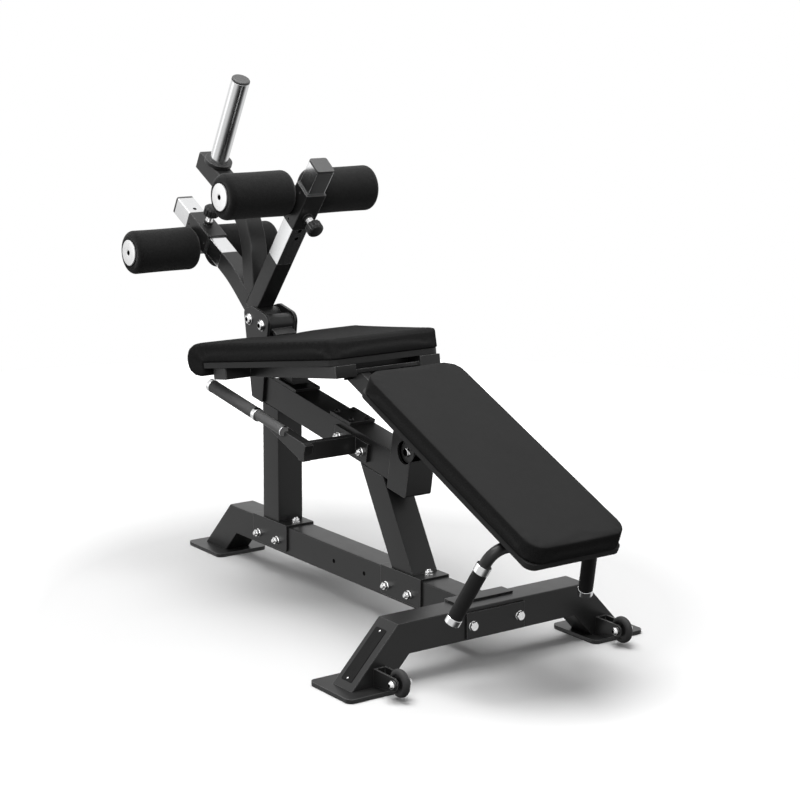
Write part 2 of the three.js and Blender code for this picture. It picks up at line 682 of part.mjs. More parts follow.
/** The middle arm's line: up from the rear arm, then curving back to a straight end. */
function middleArmLine() {
  const start = point(MIDDLE_ARM_X, MIDDLE_ARM_Z);
  const up = heading(MIDDLE_ARM_ANGLE);
  const turn = rad(180 - REAR_ARM_ANGLE - MIDDLE_ARM_ANGLE);
  const tangent = MIDDLE_ARM_R * Math.tan(turn / 2);
  const corner = start.clone().addScaledVector(up, MIDDLE_ARM_RISE + tangent);
  const root = start.clone().addScaledVector(up, -ARM);
  const end = corner.clone().addScaledVector(rearAlong, tangent + MIDDLE_ARM_RUN);
  return bentLine([[root.x, root.z], [corner.x, corner.z, MIDDLE_ARM_R], [end.x, end.z]], 8);
}

function middleArm() {
  const whole = tube(ARM, ARM, ARM_WALL, TUBE_CORNER, middleArmLine());
  const rearRoom = sweep(rectangle(ARM + 2 * GAP, ARM + 2 * GAP), rearArmLine());
  const below = halfSpace(point(PIVOT_X, PIVOT_Z), heading(-90 - REAR_ARM_ROOT_ANGLE));
  return cut(whole, rearRoom, frontArmBody(GAP).solid, below);
}

/** Where the horn stands on the middle arm, on its top face. */
function hornFoot() {
  const start = point(MIDDLE_ARM_X, MIDDLE_ARM_Z);
  const turn = rad(180 - REAR_ARM_ANGLE - MIDDLE_ARM_ANGLE);
  const tangent = MIDDLE_ARM_R * Math.tan(turn / 2);
  return start
    .addScaledVector(heading(MIDDLE_ARM_ANGLE), MIDDLE_ARM_RISE + tangent)
    .addScaledVector(rearAlong, tangent + HORN_ALONG)
    .addScaledVector(heading(90 - REAR_ARM_ANGLE), ARM / 2 + GAP);
}

/** The plated horn that takes weight plates, on its flange. */
function weightHorn() {
  const bore = HORN_R - ARM_WALL;
  const profile = [
    [bore, 0],
    [HORN_FLANGE_R - 1.5, 0],
    [HORN_FLANGE_R, 1.5],
    [HORN_FLANGE_R, HORN_FLANGE - 1.5],
    [HORN_FLANGE_R - 1.5, HORN_FLANGE],
    [HORN_R, HORN_FLANGE],
    [HORN_R, HORN_LENGTH],
    [bore, HORN_LENGTH],
    [bore, 0],
  ];
  return turned(profile, hornFoot(), heading(90 - REAR_ARM_ANGLE));
}

/** The plug in the horn's open end. */
function hornCap() {
  const base = hornFoot().addScaledVector(heading(90 - REAR_ARM_ANGLE), HORN_LENGTH);
  const plug = HORN_R - ARM_WALL - GAP;
  const profile = [
    [0, -15],
    [plug, -15],
    [plug, GAP],
    [HORN_R, GAP],
    [HORN_R, 3],
    ...arcPoints(HORN_R - 4, 3, 4, 0, 90, 3),
    [0, 7],
  ];
  return turned(profile, base, heading(90 - REAR_ARM_ANGLE));
}

addPart('lever_pivot_sleeve', pivotSleeve(), paint);
addPart('front_arm', frontArm(), paint);
addPart('rear_arm', rearArm(), paint);
addPart('middle_arm', middleArm(), paint);
addPart('weight_horn', weightHorn(), chrome);
addPart('weight_horn_cap', hornCap(), plastic);

// ================================================================ slide tubes and roller carriers
// Built along local X from the end of a painted arm; local +Z is the roller's side.

/** The plated tube that a carrier slides on; its pin holes run from the pin in the given direction. */
function slideTube(length, pinX, direction) {
  const body = tube(ARM, ARM, ARM_WALL, TUBE_CORNER, [point(GAP, 0), point(length, 0)]);
  const holes = Array.from({ length: PIN_STEPS + 1 }, (_, index) => {
    const x = pinX + direction * index * PIN_HOLE_PITCH;
    return bar(circle(PIN_HOLE_R), point(x, -ARM), point(x, -ARM / 4), Y_AXIS, 5);
  });
  return cut(body, ...holes);
}

/** The plug in a plated tube's open end. */
function tubeCap(length) {
  const plug = ARM - 2 * ARM_WALL - 2 * GAP;
  const head = bar(rectangle(ARM + 1, ARM + 1, 5), point(length + GAP, 0), point(length + GAP + CAP, 0));
  const spigot = bar(rectangle(plug, plug, 2), point(length - 16, 0), point(length + GAP + 1, 0));
  return join(head, spigot);
}

/** The sliding sleeve with the boss that holds the roller axle and the barrel of its pull pin. */
function rollerCarrier(start, pinAlong) {
  const inside = ARM + 2 * CARRIER_PLAY;
  const outside = inside + 2 * CARRIER_WALL;
  const middle = start + CARRIER_LENGTH / 2;
  const half = ROLLER_INNER_Y - 3;
  const body = bar(rectangle(outside, outside, 4), point(start, 0), point(start + CARRIER_LENGTH, 0));
  const boss = crossRod(middle, AXLE_OFFSET, BOSS_R, -half, half, ROUND_SIDES);
  const cheek = sidePlate([
    [middle - 2 * BOSS_R, outside / 2 - 1],
    [middle + 2 * BOSS_R, outside / 2 - 1],
    [middle + BOSS_R * 0.9, AXLE_OFFSET + BOSS_R * 0.4],
    [middle - BOSS_R * 0.9, AXLE_OFFSET + BOSS_R * 0.4],
  ], -outside / 2 + 2, outside / 2 - 2);
  const pinX = start + pinAlong;
  const barrel = turned([
    [0, -1],
    [PIN_NUT_R, -1],
    [PIN_NUT_R, PIN_NUT],
    [PIN_NECK_R, PIN_NUT],
    [PIN_NECK_R, PIN_BARREL],
    [0, PIN_BARREL],
  ], point(pinX, -outside / 2), point(0, -1), SMALL_SIDES);
  const screwHoles = [start + SCREW_INSET, start + CARRIER_LENGTH - SCREW_INSET].map((x) => (
    crossRod(x, 0, SCREW_HOLE_R, -outside, outside, 8)
  ));
  return cut(
    join(body, boss, cheek, barrel),
    bar(rectangle(inside, inside, 2), point(start - 1, 0), point(start + CARRIER_LENGTH + 1, 0)),
    crossRod(middle, AXLE_OFFSET, AXLE_R + GAP, -half - 1, half + 1, SMALL_SIDES),
    bar(circle(PIN_R + GAP), point(pinX, -outside / 2 - PIN_BARREL - 1), point(pinX, 0), Y_AXIS, 5),
    ...screwHoles,
  );
}

/** The axle across the boss, with the disc that keeps each roller on. */
function rollerAxle(start) {
  const profile = [
    [0, -AXLE_HALF - AXLE_DISC],
    [AXLE_DISC_R - 1.5, -AXLE_HALF - AXLE_DISC],
    [AXLE_DISC_R, -AXLE_HALF - AXLE_DISC + 1.5],
    [AXLE_DISC_R, -AXLE_HALF],
    [AXLE_R, -AXLE_HALF],
    [AXLE_R, AXLE_HALF],
    [AXLE_DISC_R, AXLE_HALF],
    [AXLE_DISC_R, AXLE_HALF + AXLE_DISC - 1.5],
    [AXLE_DISC_R - 1.5, AXLE_HALF + AXLE_DISC],
    [0, AXLE_HALF + AXLE_DISC],
  ];
  return turned(profile, point(start + CARRIER_LENGTH / 2, AXLE_OFFSET), Y_AXIS, SMALL_SIDES);
}

/** A foam roller on one end of the axle. */
function foamRoller(start, sign) {
  const inner = ROLLER_INNER_Y;
  const outer = AXLE_HALF - 1;
  const bore = AXLE_R + GAP;
  const edge = ROLLER_EDGE;
  const profile = [
    [bore, inner],
    ...arcPoints(ROLLER_R - edge, inner + edge, edge, -90, 0, 3),
    ...arcPoints(ROLLER_R - edge, outer - edge, edge, 0, 90, 3),
    [bore, outer],
    [bore, inner],
  ];
  const base = point(start + CARRIER_LENGTH / 2, AXLE_OFFSET);
  return turned(profile, base, new THREE.Vector3(0, sign, 0));
}

/** The spring plunger in the carrier's barrel, with its round knob. */
function pullPin(start, pinAlong) {
  const shell = ARM / 2 + CARRIER_PLAY;
  const seat = CARRIER_WALL + PIN_BARREL + GAP;
  const profile = [
    [0, 0],
    [PIN_R, 0],
    [PIN_R, seat],
    [KNOB_R - 5, seat],
    [KNOB_R, seat + 5],
    [KNOB_R, seat + KNOB - 4],
    ...arcPoints(KNOB_R - 5, seat + KNOB - 5, 5, 20, 90, 3),
    [0, seat + KNOB],
  ];
  return turned(profile, point(start + pinAlong, -shell), point(0, -1), SMALL_SIDES);
}

/** A plated slide tube with its cap, carrier, axle, rollers and pull pin. */
function addRollerArm(level, end, direction, length, start, pinAlong, holesRun) {
  const arm = new THREE.Group();
  arm.position.copy(end);
  arm.rotation.y = -Math.atan2(direction.z, direction.x);
  bench.add(arm);
  addPart(`${level}_slide_tube`, slideTube(length, start + pinAlong, holesRun), chrome, arm);
  addPart(`${level}_slide_cap`, tubeCap(length), plastic, arm);
  addPart(`${level}_roller_carrier`, rollerCarrier(start, pinAlong), paint, arm);
  addPart(`${level}_roller_axle`, rollerAxle(start), aluminium, arm);
  addPart(`${level}_pull_pin`, pullPin(start, pinAlong), plastic, arm);
  SIDES.forEach(([side, sign]) => addPart(`${level}_roller_${side}`, foamRoller(start, sign), foam, arm));
}

addRollerArm('upper', frontEnd, frontAlong, FRONT_ARM_SLIDE, UPPER_CARRIER_START, CARRIER_LENGTH / 2 - 16, -1);
addRollerArm('lower', rearEnd, rearAlong, REAR_ARM_SLIDE, LOWER_CARRIER_START, CARRIER_LENGTH / 2, 1);

// ================================================================ seat
// Built along local X on the seat's top plane, with depth downward.
const seat = new THREE.Group();
seat.position.z = SEAT_Z;
seat.rotation.y = -rad(SEAT_RISE);
bench.add(seat);

const SEAT_REAR = SEAT_ROLL_CENTRE - SEAT_ROLL_R;
const seatHalf = (s) => THREE.MathUtils.mapLinear(s, SEAT_REAR, SEAT_FRONT, SEAT_REAR_HALF, SEAT_FRONT_HALF);
const seatNotch = (grow) => block(
  SEAT_REAR - 10, SEAT_NOTCH_END + grow, -SEAT_NOTCH_HALF - grow, SEAT_NOTCH_HALF + grow, -200, 10,
);

/** The seat's outline seen from above, between two stations. */
function seatOutline(from, to, inset, rearCorner) {
  const rear = seatHalf(from) - inset;
  const front = seatHalf(to) - inset;
  return [
    [from, -rear, rearCorner],
    [to, -front, SEAT_FRONT_CORNER],
    [to, front, SEAT_FRONT_CORNER],
    [from, rear, rearCorner],
  ];
}

/** The wedge cushion with its round nose, notched round the pivot plates. */
function seatCushion() {
  const plan = planPlate(seatOutline(SEAT_REAR, SEAT_FRONT, 0, SEAT_REAR_CORNER), -2 * SEAT_ROLL_R - 5, 5);
  const side = sidePlate([
    [SEAT_REAR, 0, SEAT_ROLL_R - 0.01],
    [SEAT_REAR, -2 * SEAT_ROLL_R, SEAT_ROLL_R - 0.01],
    [SEAT_ROLL_BACK, -2 * SEAT_ROLL_R, 6],
    [SEAT_ROLL_BACK, -SEAT_FOAM],
    [SEAT_FRONT, -SEAT_FOAM, 4],
    [SEAT_FRONT, 0, 10],
  ], -SEAT_REAR_HALF - 5, SEAT_REAR_HALF + 5, 5);
  return cut(plan.intersect(side), seatNotch(0));
}

function seatBoard() {
  const from = SEAT_ROLL_BACK + GAP;
  const outline = seatOutline(from, SEAT_FRONT - BOARD_INSET, BOARD_INSET, 4);
  const board = planPlate(outline, -SEAT_FOAM - SEAT_BOARD, -SEAT_FOAM - GAP);
  return cut(board, seatNotch(BOARD_INSET));
}

const RAIL_TOP = -SEAT_FOAM - SEAT_BOARD - GAP; // top of the seat's tubes
const RAIL_MID = RAIL_TOP - SEAT_RAIL_HEIGHT / 2;

/** Two long tubes under the board, a cross tube at the rear and the bar that stops the back pad's rails. */
function seatFrame() {
  const inner = SEAT_RAIL_Y - SEAT_RAIL_WIDTH / 2;
  const crossMid = SEAT_CROSS_START + SEAT_RAIL_WIDTH / 2;
  const cross = (shape, grow) => bar(
    shape, point(crossMid, RAIL_MID, -SEAT_CROSS_HALF - grow), point(crossMid, RAIL_MID, SEAT_CROSS_HALF + grow), lengthwise,
  );
  const rails = SIDES.map(([, sign]) => {
    const y = sign * SEAT_RAIL_Y;
    const ends = [point(crossMid, RAIL_MID, y), point(SEAT_FRONT - 1, RAIL_MID, y)];
    return tube(SEAT_RAIL_WIDTH, SEAT_RAIL_HEIGHT, ARM_WALL, 2, ends);
  });
  const outer = rectangle(SEAT_RAIL_WIDTH, SEAT_RAIL_HEIGHT, 2);
  const bore = rectangle(SEAT_RAIL_WIDTH - 2 * ARM_WALL, SEAT_RAIL_HEIGHT - 2 * ARM_WALL);
  const { station, depth } = stopBarPlace();
  const top = Math.max(STOP_BAR_HEIGHT - depth, RAIL_MID);
  const stop = block(station, station + STOP_BAR_WIDTH, -inner - 1, inner + 1, -depth, top);
  return join(cut(join(...rails, cross(outer, 0)), cross(bore, 1)), stop);
}

/** The short post between the upper beam and the seat's cross tube, on its base plate. */
function seatPost() {
  const base = plateOnBeam(POST_X, POST_BASE_LENGTH, PLATE);
  const floor = beamAxis(POST_X).addScaledVector(beamUp, TUBE / 2 + GAP + PLATE / 2);
  const ceiling = seatPoint(0, SEAT_FOAM + SEAT_BOARD + SEAT_RAIL_HEIGHT + 2 * GAP);
  const post = bar(rectangle(POST_SIDE, POST_SIDE, 3), point(POST_X, BEAM_Z), point(POST_X, SEAT_Z));
  return join(base, cut(post, halfSpace(ceiling, seatUp), halfSpace(floor, beamUp.clone().negate())));
}

// ================================================================ back pad
// Built about its hinge: local X runs down the pad, local Z out of it.
const pad = new THREE.Group();
pad.position.set(HINGE_X, 0, HINGE_Z);
pad.rotation.y = rad(PAD_FALL);
bench.add(pad);

const PAD_TOP_END = -PAD_BEHIND_HINGE;
const PAD_LOW_END = PAD_LENGTH - PAD_BEHIND_HINGE;
const PAD_RAIL_TOP = PAD_HEIGHT - PAD_FOAM - PAD_BOARD - 2 * GAP;
const PAD_RAIL_LOW = PAD_RAIL_TOP - RAIL_HEIGHT;

/** Where the stop bar starts along the seat, and the depth of its underside: just into the rails' upper
    ends, but clear of the board. */
function stopBarPlace() {
  const tip = point(-RAIL_TAIL_TOP, PAD_RAIL_TOP).applyAxisAngle(Y_AXIS, pad.rotation.y).add(pad.position);
  tip.sub(point(0, SEAT_Z));
  return {
    station: Math.min(tip.dot(seatAlong) - STOP_BAR_WIDTH / 2, SEAT_FRONT - STOP_BAR_WIDTH - GAP),
    depth: Math.max(STOP_BAR_BITE - tip.dot(seatUp), STOP_BAR_HEIGHT + GAP - RAIL_TOP),
  };
}

/** Everything above the stop bar's underside, in the pad's own axes. */
function aboveStopBar() {
  const { station, depth } = stopBarPlace();
  const turn = (vector) => vector.applyAxisAngle(Y_AXIS, -pad.rotation.y);
  return halfSpace(turn(seatPoint(station, depth + GAP).sub(pad.position)), turn(seatUp.clone()));
}

/** The pad's outline seen square on. */
function padOutline(inset, corner) {
  const half = PAD_HALF - inset;
  const top = PAD_TOP_END + inset;
  const low = PAD_LOW_END - inset;
  return [[top, -half, corner], [low, -half, corner], [low, half, corner], [top, half, corner]];
}

/** The rails, the hinge lugs and the plates that tie them. */
function backrestFrame() {
  const rails = SIDES.map(([, sign]) => {
    const y = sign * RAIL_Y;
    const mid = (PAD_RAIL_TOP + PAD_RAIL_LOW) / 2;
    const ends = [point(-RAIL_TAIL_BOTTOM - RAIL_HEIGHT, mid, y), point(RAIL_FRONT, mid, y)];
    return tube(RAIL_WIDTH, RAIL_HEIGHT, RAIL_WALL, 2, ends);
  });
  const tail = point(-RAIL_TAIL_TOP, PAD_RAIL_TOP).sub(point(-RAIL_TAIL_BOTTOM, PAD_RAIL_LOW));
  const tailCut = halfSpace(point(-RAIL_TAIL_TOP, PAD_RAIL_TOP), point(-tail.z, tail.x));
  const inner = RAIL_Y - RAIL_WIDTH / 2 + 1;
  const under = PAD_RAIL_TOP - PLATE;
  const tie = block(-LUG_FOOT / 2, LUG_FOOT / 2, -inner, inner, under, PAD_RAIL_TOP);
  const lowTie = block(RAIL_FRONT - 40, RAIL_FRONT, -inner, inner, under, PAD_RAIL_TOP);
  const lugs = SIDES.map(([, sign]) => {
    const y0 = sign < 0 ? -LUG_INNER_Y - PLATE : LUG_INNER_Y;
    const arm = block(-LUG_R, LUG_R, y0, y0 + PLATE, 0, under + 1);
    return join(arm, crossRod(0, 0, LUG_R, y0, y0 + PLATE, ROUND_SIDES));
  });
  const bore = crossRod(0, 0, HINGE_BOLT_R + GAP, -PAD_HALF, PAD_HALF);
  const handleZ = PAD_HEIGHT - HANDLE_DEPTH;
  const handleRoom = crossRod(HANDLE_ALONG, handleZ, HANDLE_R + GAP, -PAD_HALF, PAD_HALF, SMALL_SIDES);
  return cut(join(...rails, tie, lowTie, ...lugs), tailCut, aboveStopBar(), bore, handleRoom);
}

/** Half of the U handle's centre line below the pad, as [y, depth] of its corner and its end. */
function handleEnd() {
  const drop = HANDLE_END_DEPTH - HANDLE_DEPTH;
  return [HANDLE_CORNER_Y + drop * Math.tan(rad(HANDLE_SPLAY)), HANDLE_END_DEPTH];
}

/** The round tube through the rails, bent down and out to the two grips. */
function uHandle() {
  const [endY, endDepth] = handleEnd();
  const low = PAD_HEIGHT - endDepth;
  const high = PAD_HEIGHT - HANDLE_DEPTH;
  const line = bentLine([
    [-endY, low], [-HANDLE_CORNER_Y, high, HANDLE_BEND_R], [HANDLE_CORNER_Y, high, HANDLE_BEND_R], [endY, low],
  ]);
  const body = sweep(circle(HANDLE_R), line, { facets: 8 });
  const bore = sweep(circle(HANDLE_R - HANDLE_WALL), line, { facets: 5, overrun: 5 });
  const intoPlane = new THREE.Matrix4().makeRotationZ(Math.PI / 2).setPosition(HANDLE_ALONG, 0, 0);
  return cut(body, bore).transform(intoPlane.elements);
}

/** A rubber sleeve on one leg of the U handle. */
function handleGrip(sign) {
  const [endY, endDepth] = handleEnd();
  const end = point(HANDLE_ALONG, PAD_HEIGHT - endDepth, sign * endY);
  const up = new THREE.Vector3(0, -sign * Math.sin(rad(HANDLE_SPLAY)), Math.cos(rad(HANDLE_SPLAY)));
  return gripSleeve(end.addScaledVector(up, COLLAR), up, HANDLE_R, GRIP_R, GRIP_LENGTH);
}

/** A rubber grip: a sleeve with rounded lips. */
function gripSleeve(base, direction, tubeRadius, radius, length) {
  const bore = tubeRadius + GAP;
  const profile = [
    [bore, 0],
    [radius - 1.5, 0],
    [radius, 1.5],
    [radius, length - 1.5],
    [radius - 1.5, length],
    [bore, length],
    [bore, 0],
  ];
  return turned(profile, base, direction, SMALL_SIDES);
}

addPart('backrest_cushion', planPlate(padOutline(0, PAD_CORNER), PAD_HEIGHT - PAD_FOAM, PAD_HEIGHT), vinyl, pad);
addPart(
  'backrest_board',
  planPlate(
    padOutline(BOARD_INSET, PAD_BOARD_CORNER), PAD_HEIGHT - PAD_FOAM - PAD_BOARD - GAP, PAD_HEIGHT - PAD_FOAM - GAP,
  ),
  plastic,
  pad,
);
addPart('backrest_frame', backrestFrame(), paint, pad);
addPart('u_handle', uHandle(), paint, pad);
SIDES.forEach(([side, sign]) => addPart(`handle_grip_${side}`, handleGrip(sign), rubber, pad));

addPart('seat_cushion', seatCushion(), vinyl, seat);
addPart('seat_board', seatBoard(), plastic, seat);
addPart('seat_frame', seatFrame(), paint, seat);
addPart('seat_post', seatPost(), paint);

// ================================================================ front bracket and backrest hinge
/** A point measured along the beam from its front end, and up from its axis. */
function fromBeamEnd(along, up) {
  return beamAxis(BEAM_FRONT_X).addScaledVector(beamAlong, along).addScaledVector(beamUp, up);
}

/** The corner list of a rectangle laid along the beam, each corner with its rounding. */
function beamRectangle(along0, along1, up0, up1, radii = [0, 0, 0, 0]) {
  const corners = [[along0, up0], [along1, up0], [along1, up1], [along0, up1]];
  return corners.map(([along, up], index) => {
    const at = fromBeamEnd(along, up);
    return [at.x, at.z, radii[index]];
  });
}

/** A box as wide as the beam on its front end, open at the top, with the hinge bolt's access holes. */
function frontBracket() {
  const half = TUBE / 2;
  const wall = BRACKET_PLATE;
  const high = BRACKET_RISE + 20;
  const radii = [2, 8, 14, 10];
  const outer = sidePlate(beamRectangle(GAP, BRACKET_LENGTH, -BRACKET_DROP, BRACKET_RISE, radii), -half, half);
  const room = sidePlate(
    beamRectangle(GAP + wall, BRACKET_LENGTH - wall, wall - BRACKET_DROP, high), wall - half, half - wall,
  );
  const overFront = sidePlate(
    beamRectangle(BRACKET_LENGTH - wall - 10, BRACKET_LENGTH + 10, BRACKET_FRONT_RISE, high), wall - half, half - wall,
  );
  return cut(outer, room, overFront, crossRod(HINGE_X, HINGE_Z, ACCESS_HOLE_R, -TUBE, TUBE, ROUND_SIDES));
}

/** The boss that the hinge bolt runs through, on its web from the bracket's rear plate. */
function hingeBoss() {
  const half = LUG_INNER_Y - 2 * GAP;
  const hinge = point(HINGE_X, HINGE_Z);
  const end = fromBeamEnd(0, 0);
  const along = hinge.clone().sub(end).dot(beamAlong);
  const up = hinge.clone().sub(end).dot(beamUp) - 5;
  const web = bar(rectangle(2 * half, HINGE_BOSS_R), fromBeamEnd(BRACKET_PLATE + 2 * GAP, up), fromBeamEnd(along, up));
  const boss = crossRod(HINGE_X, HINGE_Z, HINGE_BOSS_R, -half, half, ROUND_SIDES);
  return cut(join(web, boss), crossRod(HINGE_X, HINGE_Z, HINGE_BOLT_R + GAP, -TUBE, TUBE));
}

addPart('front_bracket', frontBracket(), paint);
addPart('hinge_boss', hingeBoss(), paint);
addPart(
  'backrest_hinge_bolt',
  crossBolt(HINGE_X, HINGE_Z, HINGE_BOLT_R, LUG_INNER_Y + PLATE + GAP, 14, 7),
  chrome,
);

// ================================================================ side handle
/** A flange on the beam, a bar out and back, and the round tube that carries the grip. */
function sideHandle() {
  const flangeFrom = beamAxis(ARM_FLANGE_X).addScaledVector(beamAlong, -ARM_FLANGE_LENGTH / 2);
  const flangeTo = beamAxis(ARM_FLANGE_X).addScaledVector(beamAlong, ARM_FLANGE_LENGTH / 2);
  [flangeFrom, flangeTo].forEach((end) => end.setY(-PLATE_INNER - PLATE / 2));
  const flange = bar(rectangle(PLATE, ARM_FLANGE_HEIGHT), flangeFrom, flangeTo);
  const wide = rectangle(SIDE_BAR_WIDTH, SIDE_BAR_HEIGHT, 2);
  const legY = SIDE_GRIP_Y + SIDE_TUBE_R;
  const out = bar(
    wide, point(SIDE_BAR_X, SIDE_BAR_Z, -PLATE_OUTER + 1), point(SIDE_BAR_X, SIDE_BAR_Z, legY - 12), lengthwise,
  );
  const legTop = heading(180 - SIDE_LEG_ANGLE);
  const legFrom = point(SIDE_BAR_X + SIDE_BAR_WIDTH / 2, SIDE_BAR_Z - 4, legY);
  const leg = bar(wide, legFrom, legFrom.clone().addScaledVector(legTop, SIDE_LEG_LENGTH));
  const { free, along } = sideTubeLine();
  const stub = turned([
    [0, 0],
    [SIDE_TUBE_R - 1, 0],
    [SIDE_TUBE_R, 1],
    [SIDE_TUBE_R, SIDE_TUBE_LENGTH - 1],
    [SIDE_TUBE_R - 1, SIDE_TUBE_LENGTH],
    [0, SIDE_TUBE_LENGTH],
  ], free, along, SMALL_SIDES);
  const aboveTube = free.clone().add(point(0, 0));
  const sideUp = heading(90 - BEAM_FALL);
  return join(flange, out, cut(leg, halfSpace(aboveTube, sideUp)), stub);
}

/** The free end and direction of the side handle's round tube. */
function sideTubeLine() {
  return { free: point(SIDE_TUBE_X, SIDE_TUBE_Z, SIDE_GRIP_Y), along: beamAlong.clone().negate() };
}

function sideGrip() {
  const { free, along } = sideTubeLine();
  const length = SIDE_TUBE_LENGTH - SIDE_GRIP_START - COLLAR;
  return gripSleeve(free.addScaledVector(along, SIDE_GRIP_START), along, SIDE_TUBE_R, GRIP_R - 1, length);
}

addPart('side_handle', sideHandle(), paint);
addPart('side_handle_grip', sideGrip(), rubber);

// ================================================================ transport wheels
/** A fork on a leg's outer face, open at the top, with the axle through it. */
function wheelFork(sign) {
  const face = CROSSBAR_X + TUBE / 2 + GAP;
  const inner = WHEEL_WIDTH / 2 + WHEEL_PLAY;
  const outer = inner + FORK_WALL;
  const y = sign * WHEEL_Y;
  const root = WHEEL_Z - 6;
  const cheeks = sidePlate([
    [face, root - FORK_ROOT_HALF, 0],
    [WHEEL_X + FORK_NOSE_R, WHEEL_Z - FORK_NOSE_R, FORK_NOSE_R - 0.5],
    [WHEEL_X + FORK_NOSE_R, WHEEL_Z + FORK_NOSE_R, FORK_NOSE_R - 0.5],
    [face, root + FORK_ROOT_HALF, 0],
  ], y - outer, y + outer);
  const slot = block(face + FORK_WALL, WHEEL_X + 60, y - inner, y + inner, -10, WHEEL_Z + 60);
  const head = 6;
  const axle = turned([
    [0, -outer - head],
    [6, -outer - head],
    [9, -outer - 2],
    [9, -outer + 1],
    [5, -outer + 1],
    [5, outer - 1],
    [9, outer - 1],
    [9, outer + 2],
    [6, outer + head],
    [0, outer + head],
  ], point(WHEEL_X, WHEEL_Z, y), Y_AXIS, SMALL_SIDES);
  return join(cut(cheeks, slot), axle);
}

/** A solid tyre with rounded shoulders. */
function wheel(sign) {
  const half = WHEEL_WIDTH / 2;
  const edge = 8;
  const profile = [
    [5 + GAP, -half],
    ...arcPoints(WHEEL_R - edge, -half + edge, edge, -90, 0, 3),
    ...arcPoints(WHEEL_R - edge, half - edge, edge, 0, 90, 3),
    [5 + GAP, half],
    [5 + GAP, -half],
  ];
  return turned(profile, point(WHEEL_X, WHEEL_Z, sign * WHEEL_Y));
}

SIDES.forEach(([side, sign]) => {
  addPart(`wheel_fork_${side}`, wheelFork(sign), paint);
  addPart(`wheel_${side}`, wheel(sign), rubber);
});

// The origin is on the floor, midway along the bench's whole length.
const whole = new THREE.Box3().setFromObject(bench);
bench.position.x = -(whole.min.x + whole.max.x) / 2;

export default bench;
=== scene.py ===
"""Looks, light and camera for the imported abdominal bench. Lengths are in metres."""
import json
import math

import bmesh
import bpy
from mathutils import Matrix, Vector
from mathutils.bvhtree import BVHTree


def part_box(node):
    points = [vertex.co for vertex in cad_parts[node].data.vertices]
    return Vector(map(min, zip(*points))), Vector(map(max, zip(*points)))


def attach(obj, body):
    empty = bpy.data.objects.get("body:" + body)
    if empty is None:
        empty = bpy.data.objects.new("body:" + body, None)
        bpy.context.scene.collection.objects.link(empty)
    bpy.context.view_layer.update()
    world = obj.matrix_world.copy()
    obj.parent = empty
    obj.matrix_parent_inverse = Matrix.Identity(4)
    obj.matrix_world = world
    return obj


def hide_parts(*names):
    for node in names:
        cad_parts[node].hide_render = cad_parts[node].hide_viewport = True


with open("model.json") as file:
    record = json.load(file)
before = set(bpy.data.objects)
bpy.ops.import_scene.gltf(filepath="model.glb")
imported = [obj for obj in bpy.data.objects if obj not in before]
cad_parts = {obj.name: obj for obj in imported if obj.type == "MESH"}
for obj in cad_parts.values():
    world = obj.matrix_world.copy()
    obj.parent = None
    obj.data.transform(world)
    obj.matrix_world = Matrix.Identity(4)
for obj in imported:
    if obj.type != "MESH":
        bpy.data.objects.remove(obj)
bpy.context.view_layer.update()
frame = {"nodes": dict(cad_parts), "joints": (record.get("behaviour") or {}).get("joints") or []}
NODES = frame["nodes"]
JOINTS = {joint["name"]: joint for joint in frame["joints"]}
X = Vector((1, 0, 0))
Y = Vector((0, 1, 0))
Z = Vector((0, 0, 1))
SIDES = (("left", -1), ("right", 1))
FACE_DEPTH = 0.0004  # how deep below its furthest point a node's end face is looked for
SAME_POINT = 1e-5  # vertices nearer than this are one
CROSSBAR_X = 0.614  # the crossbar's middle, from the bench's own origin


# ---------------------------------------------------------------- places taken from the CAD
def heading(degrees):
    """A direction in the bench's side view, in degrees above +X."""
    return Vector((math.cos(math.radians(degrees)), 0, math.sin(math.radians(degrees))))


def middle(node):
    low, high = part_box(node)
    return (low + high) / 2


def far_end(node, direction):
    """The centre of the face in which a CAD node ends along a direction."""
    points = [vertex.co for vertex in NODES[node].data.vertices]
    reach = max(point.dot(direction) for point in points)
    last = [point for point in points if point.dot(direction) > reach - FACE_DEPTH]
    return sum(last, Vector()) / len(last)


def land(node, start, direction):
    """Where a line meets a CAD node first, and that face's normal."""
    mesh = NODES[node].data
    tree = BVHTree.FromPolygons(
        [vertex.co for vertex in mesh.vertices], [list(face.vertices) for face in mesh.polygons]
    )
    spot, normal, _, _ = tree.ray_cast(Vector(start), Vector(direction).normalized())
    if spot is None:
        raise ValueError(f"nothing of {node} lies on that line")
    return spot, normal


# The bench's own origin, from which the CAD source measures X.
SHIFT = middle("front_crossbar").x - CROSSBAR_X


def at(x, y, z):
    """A point given in millimetres from the bench's own origin."""
    return Vector((x / 1000 + SHIFT, y / 1000, z / 1000))


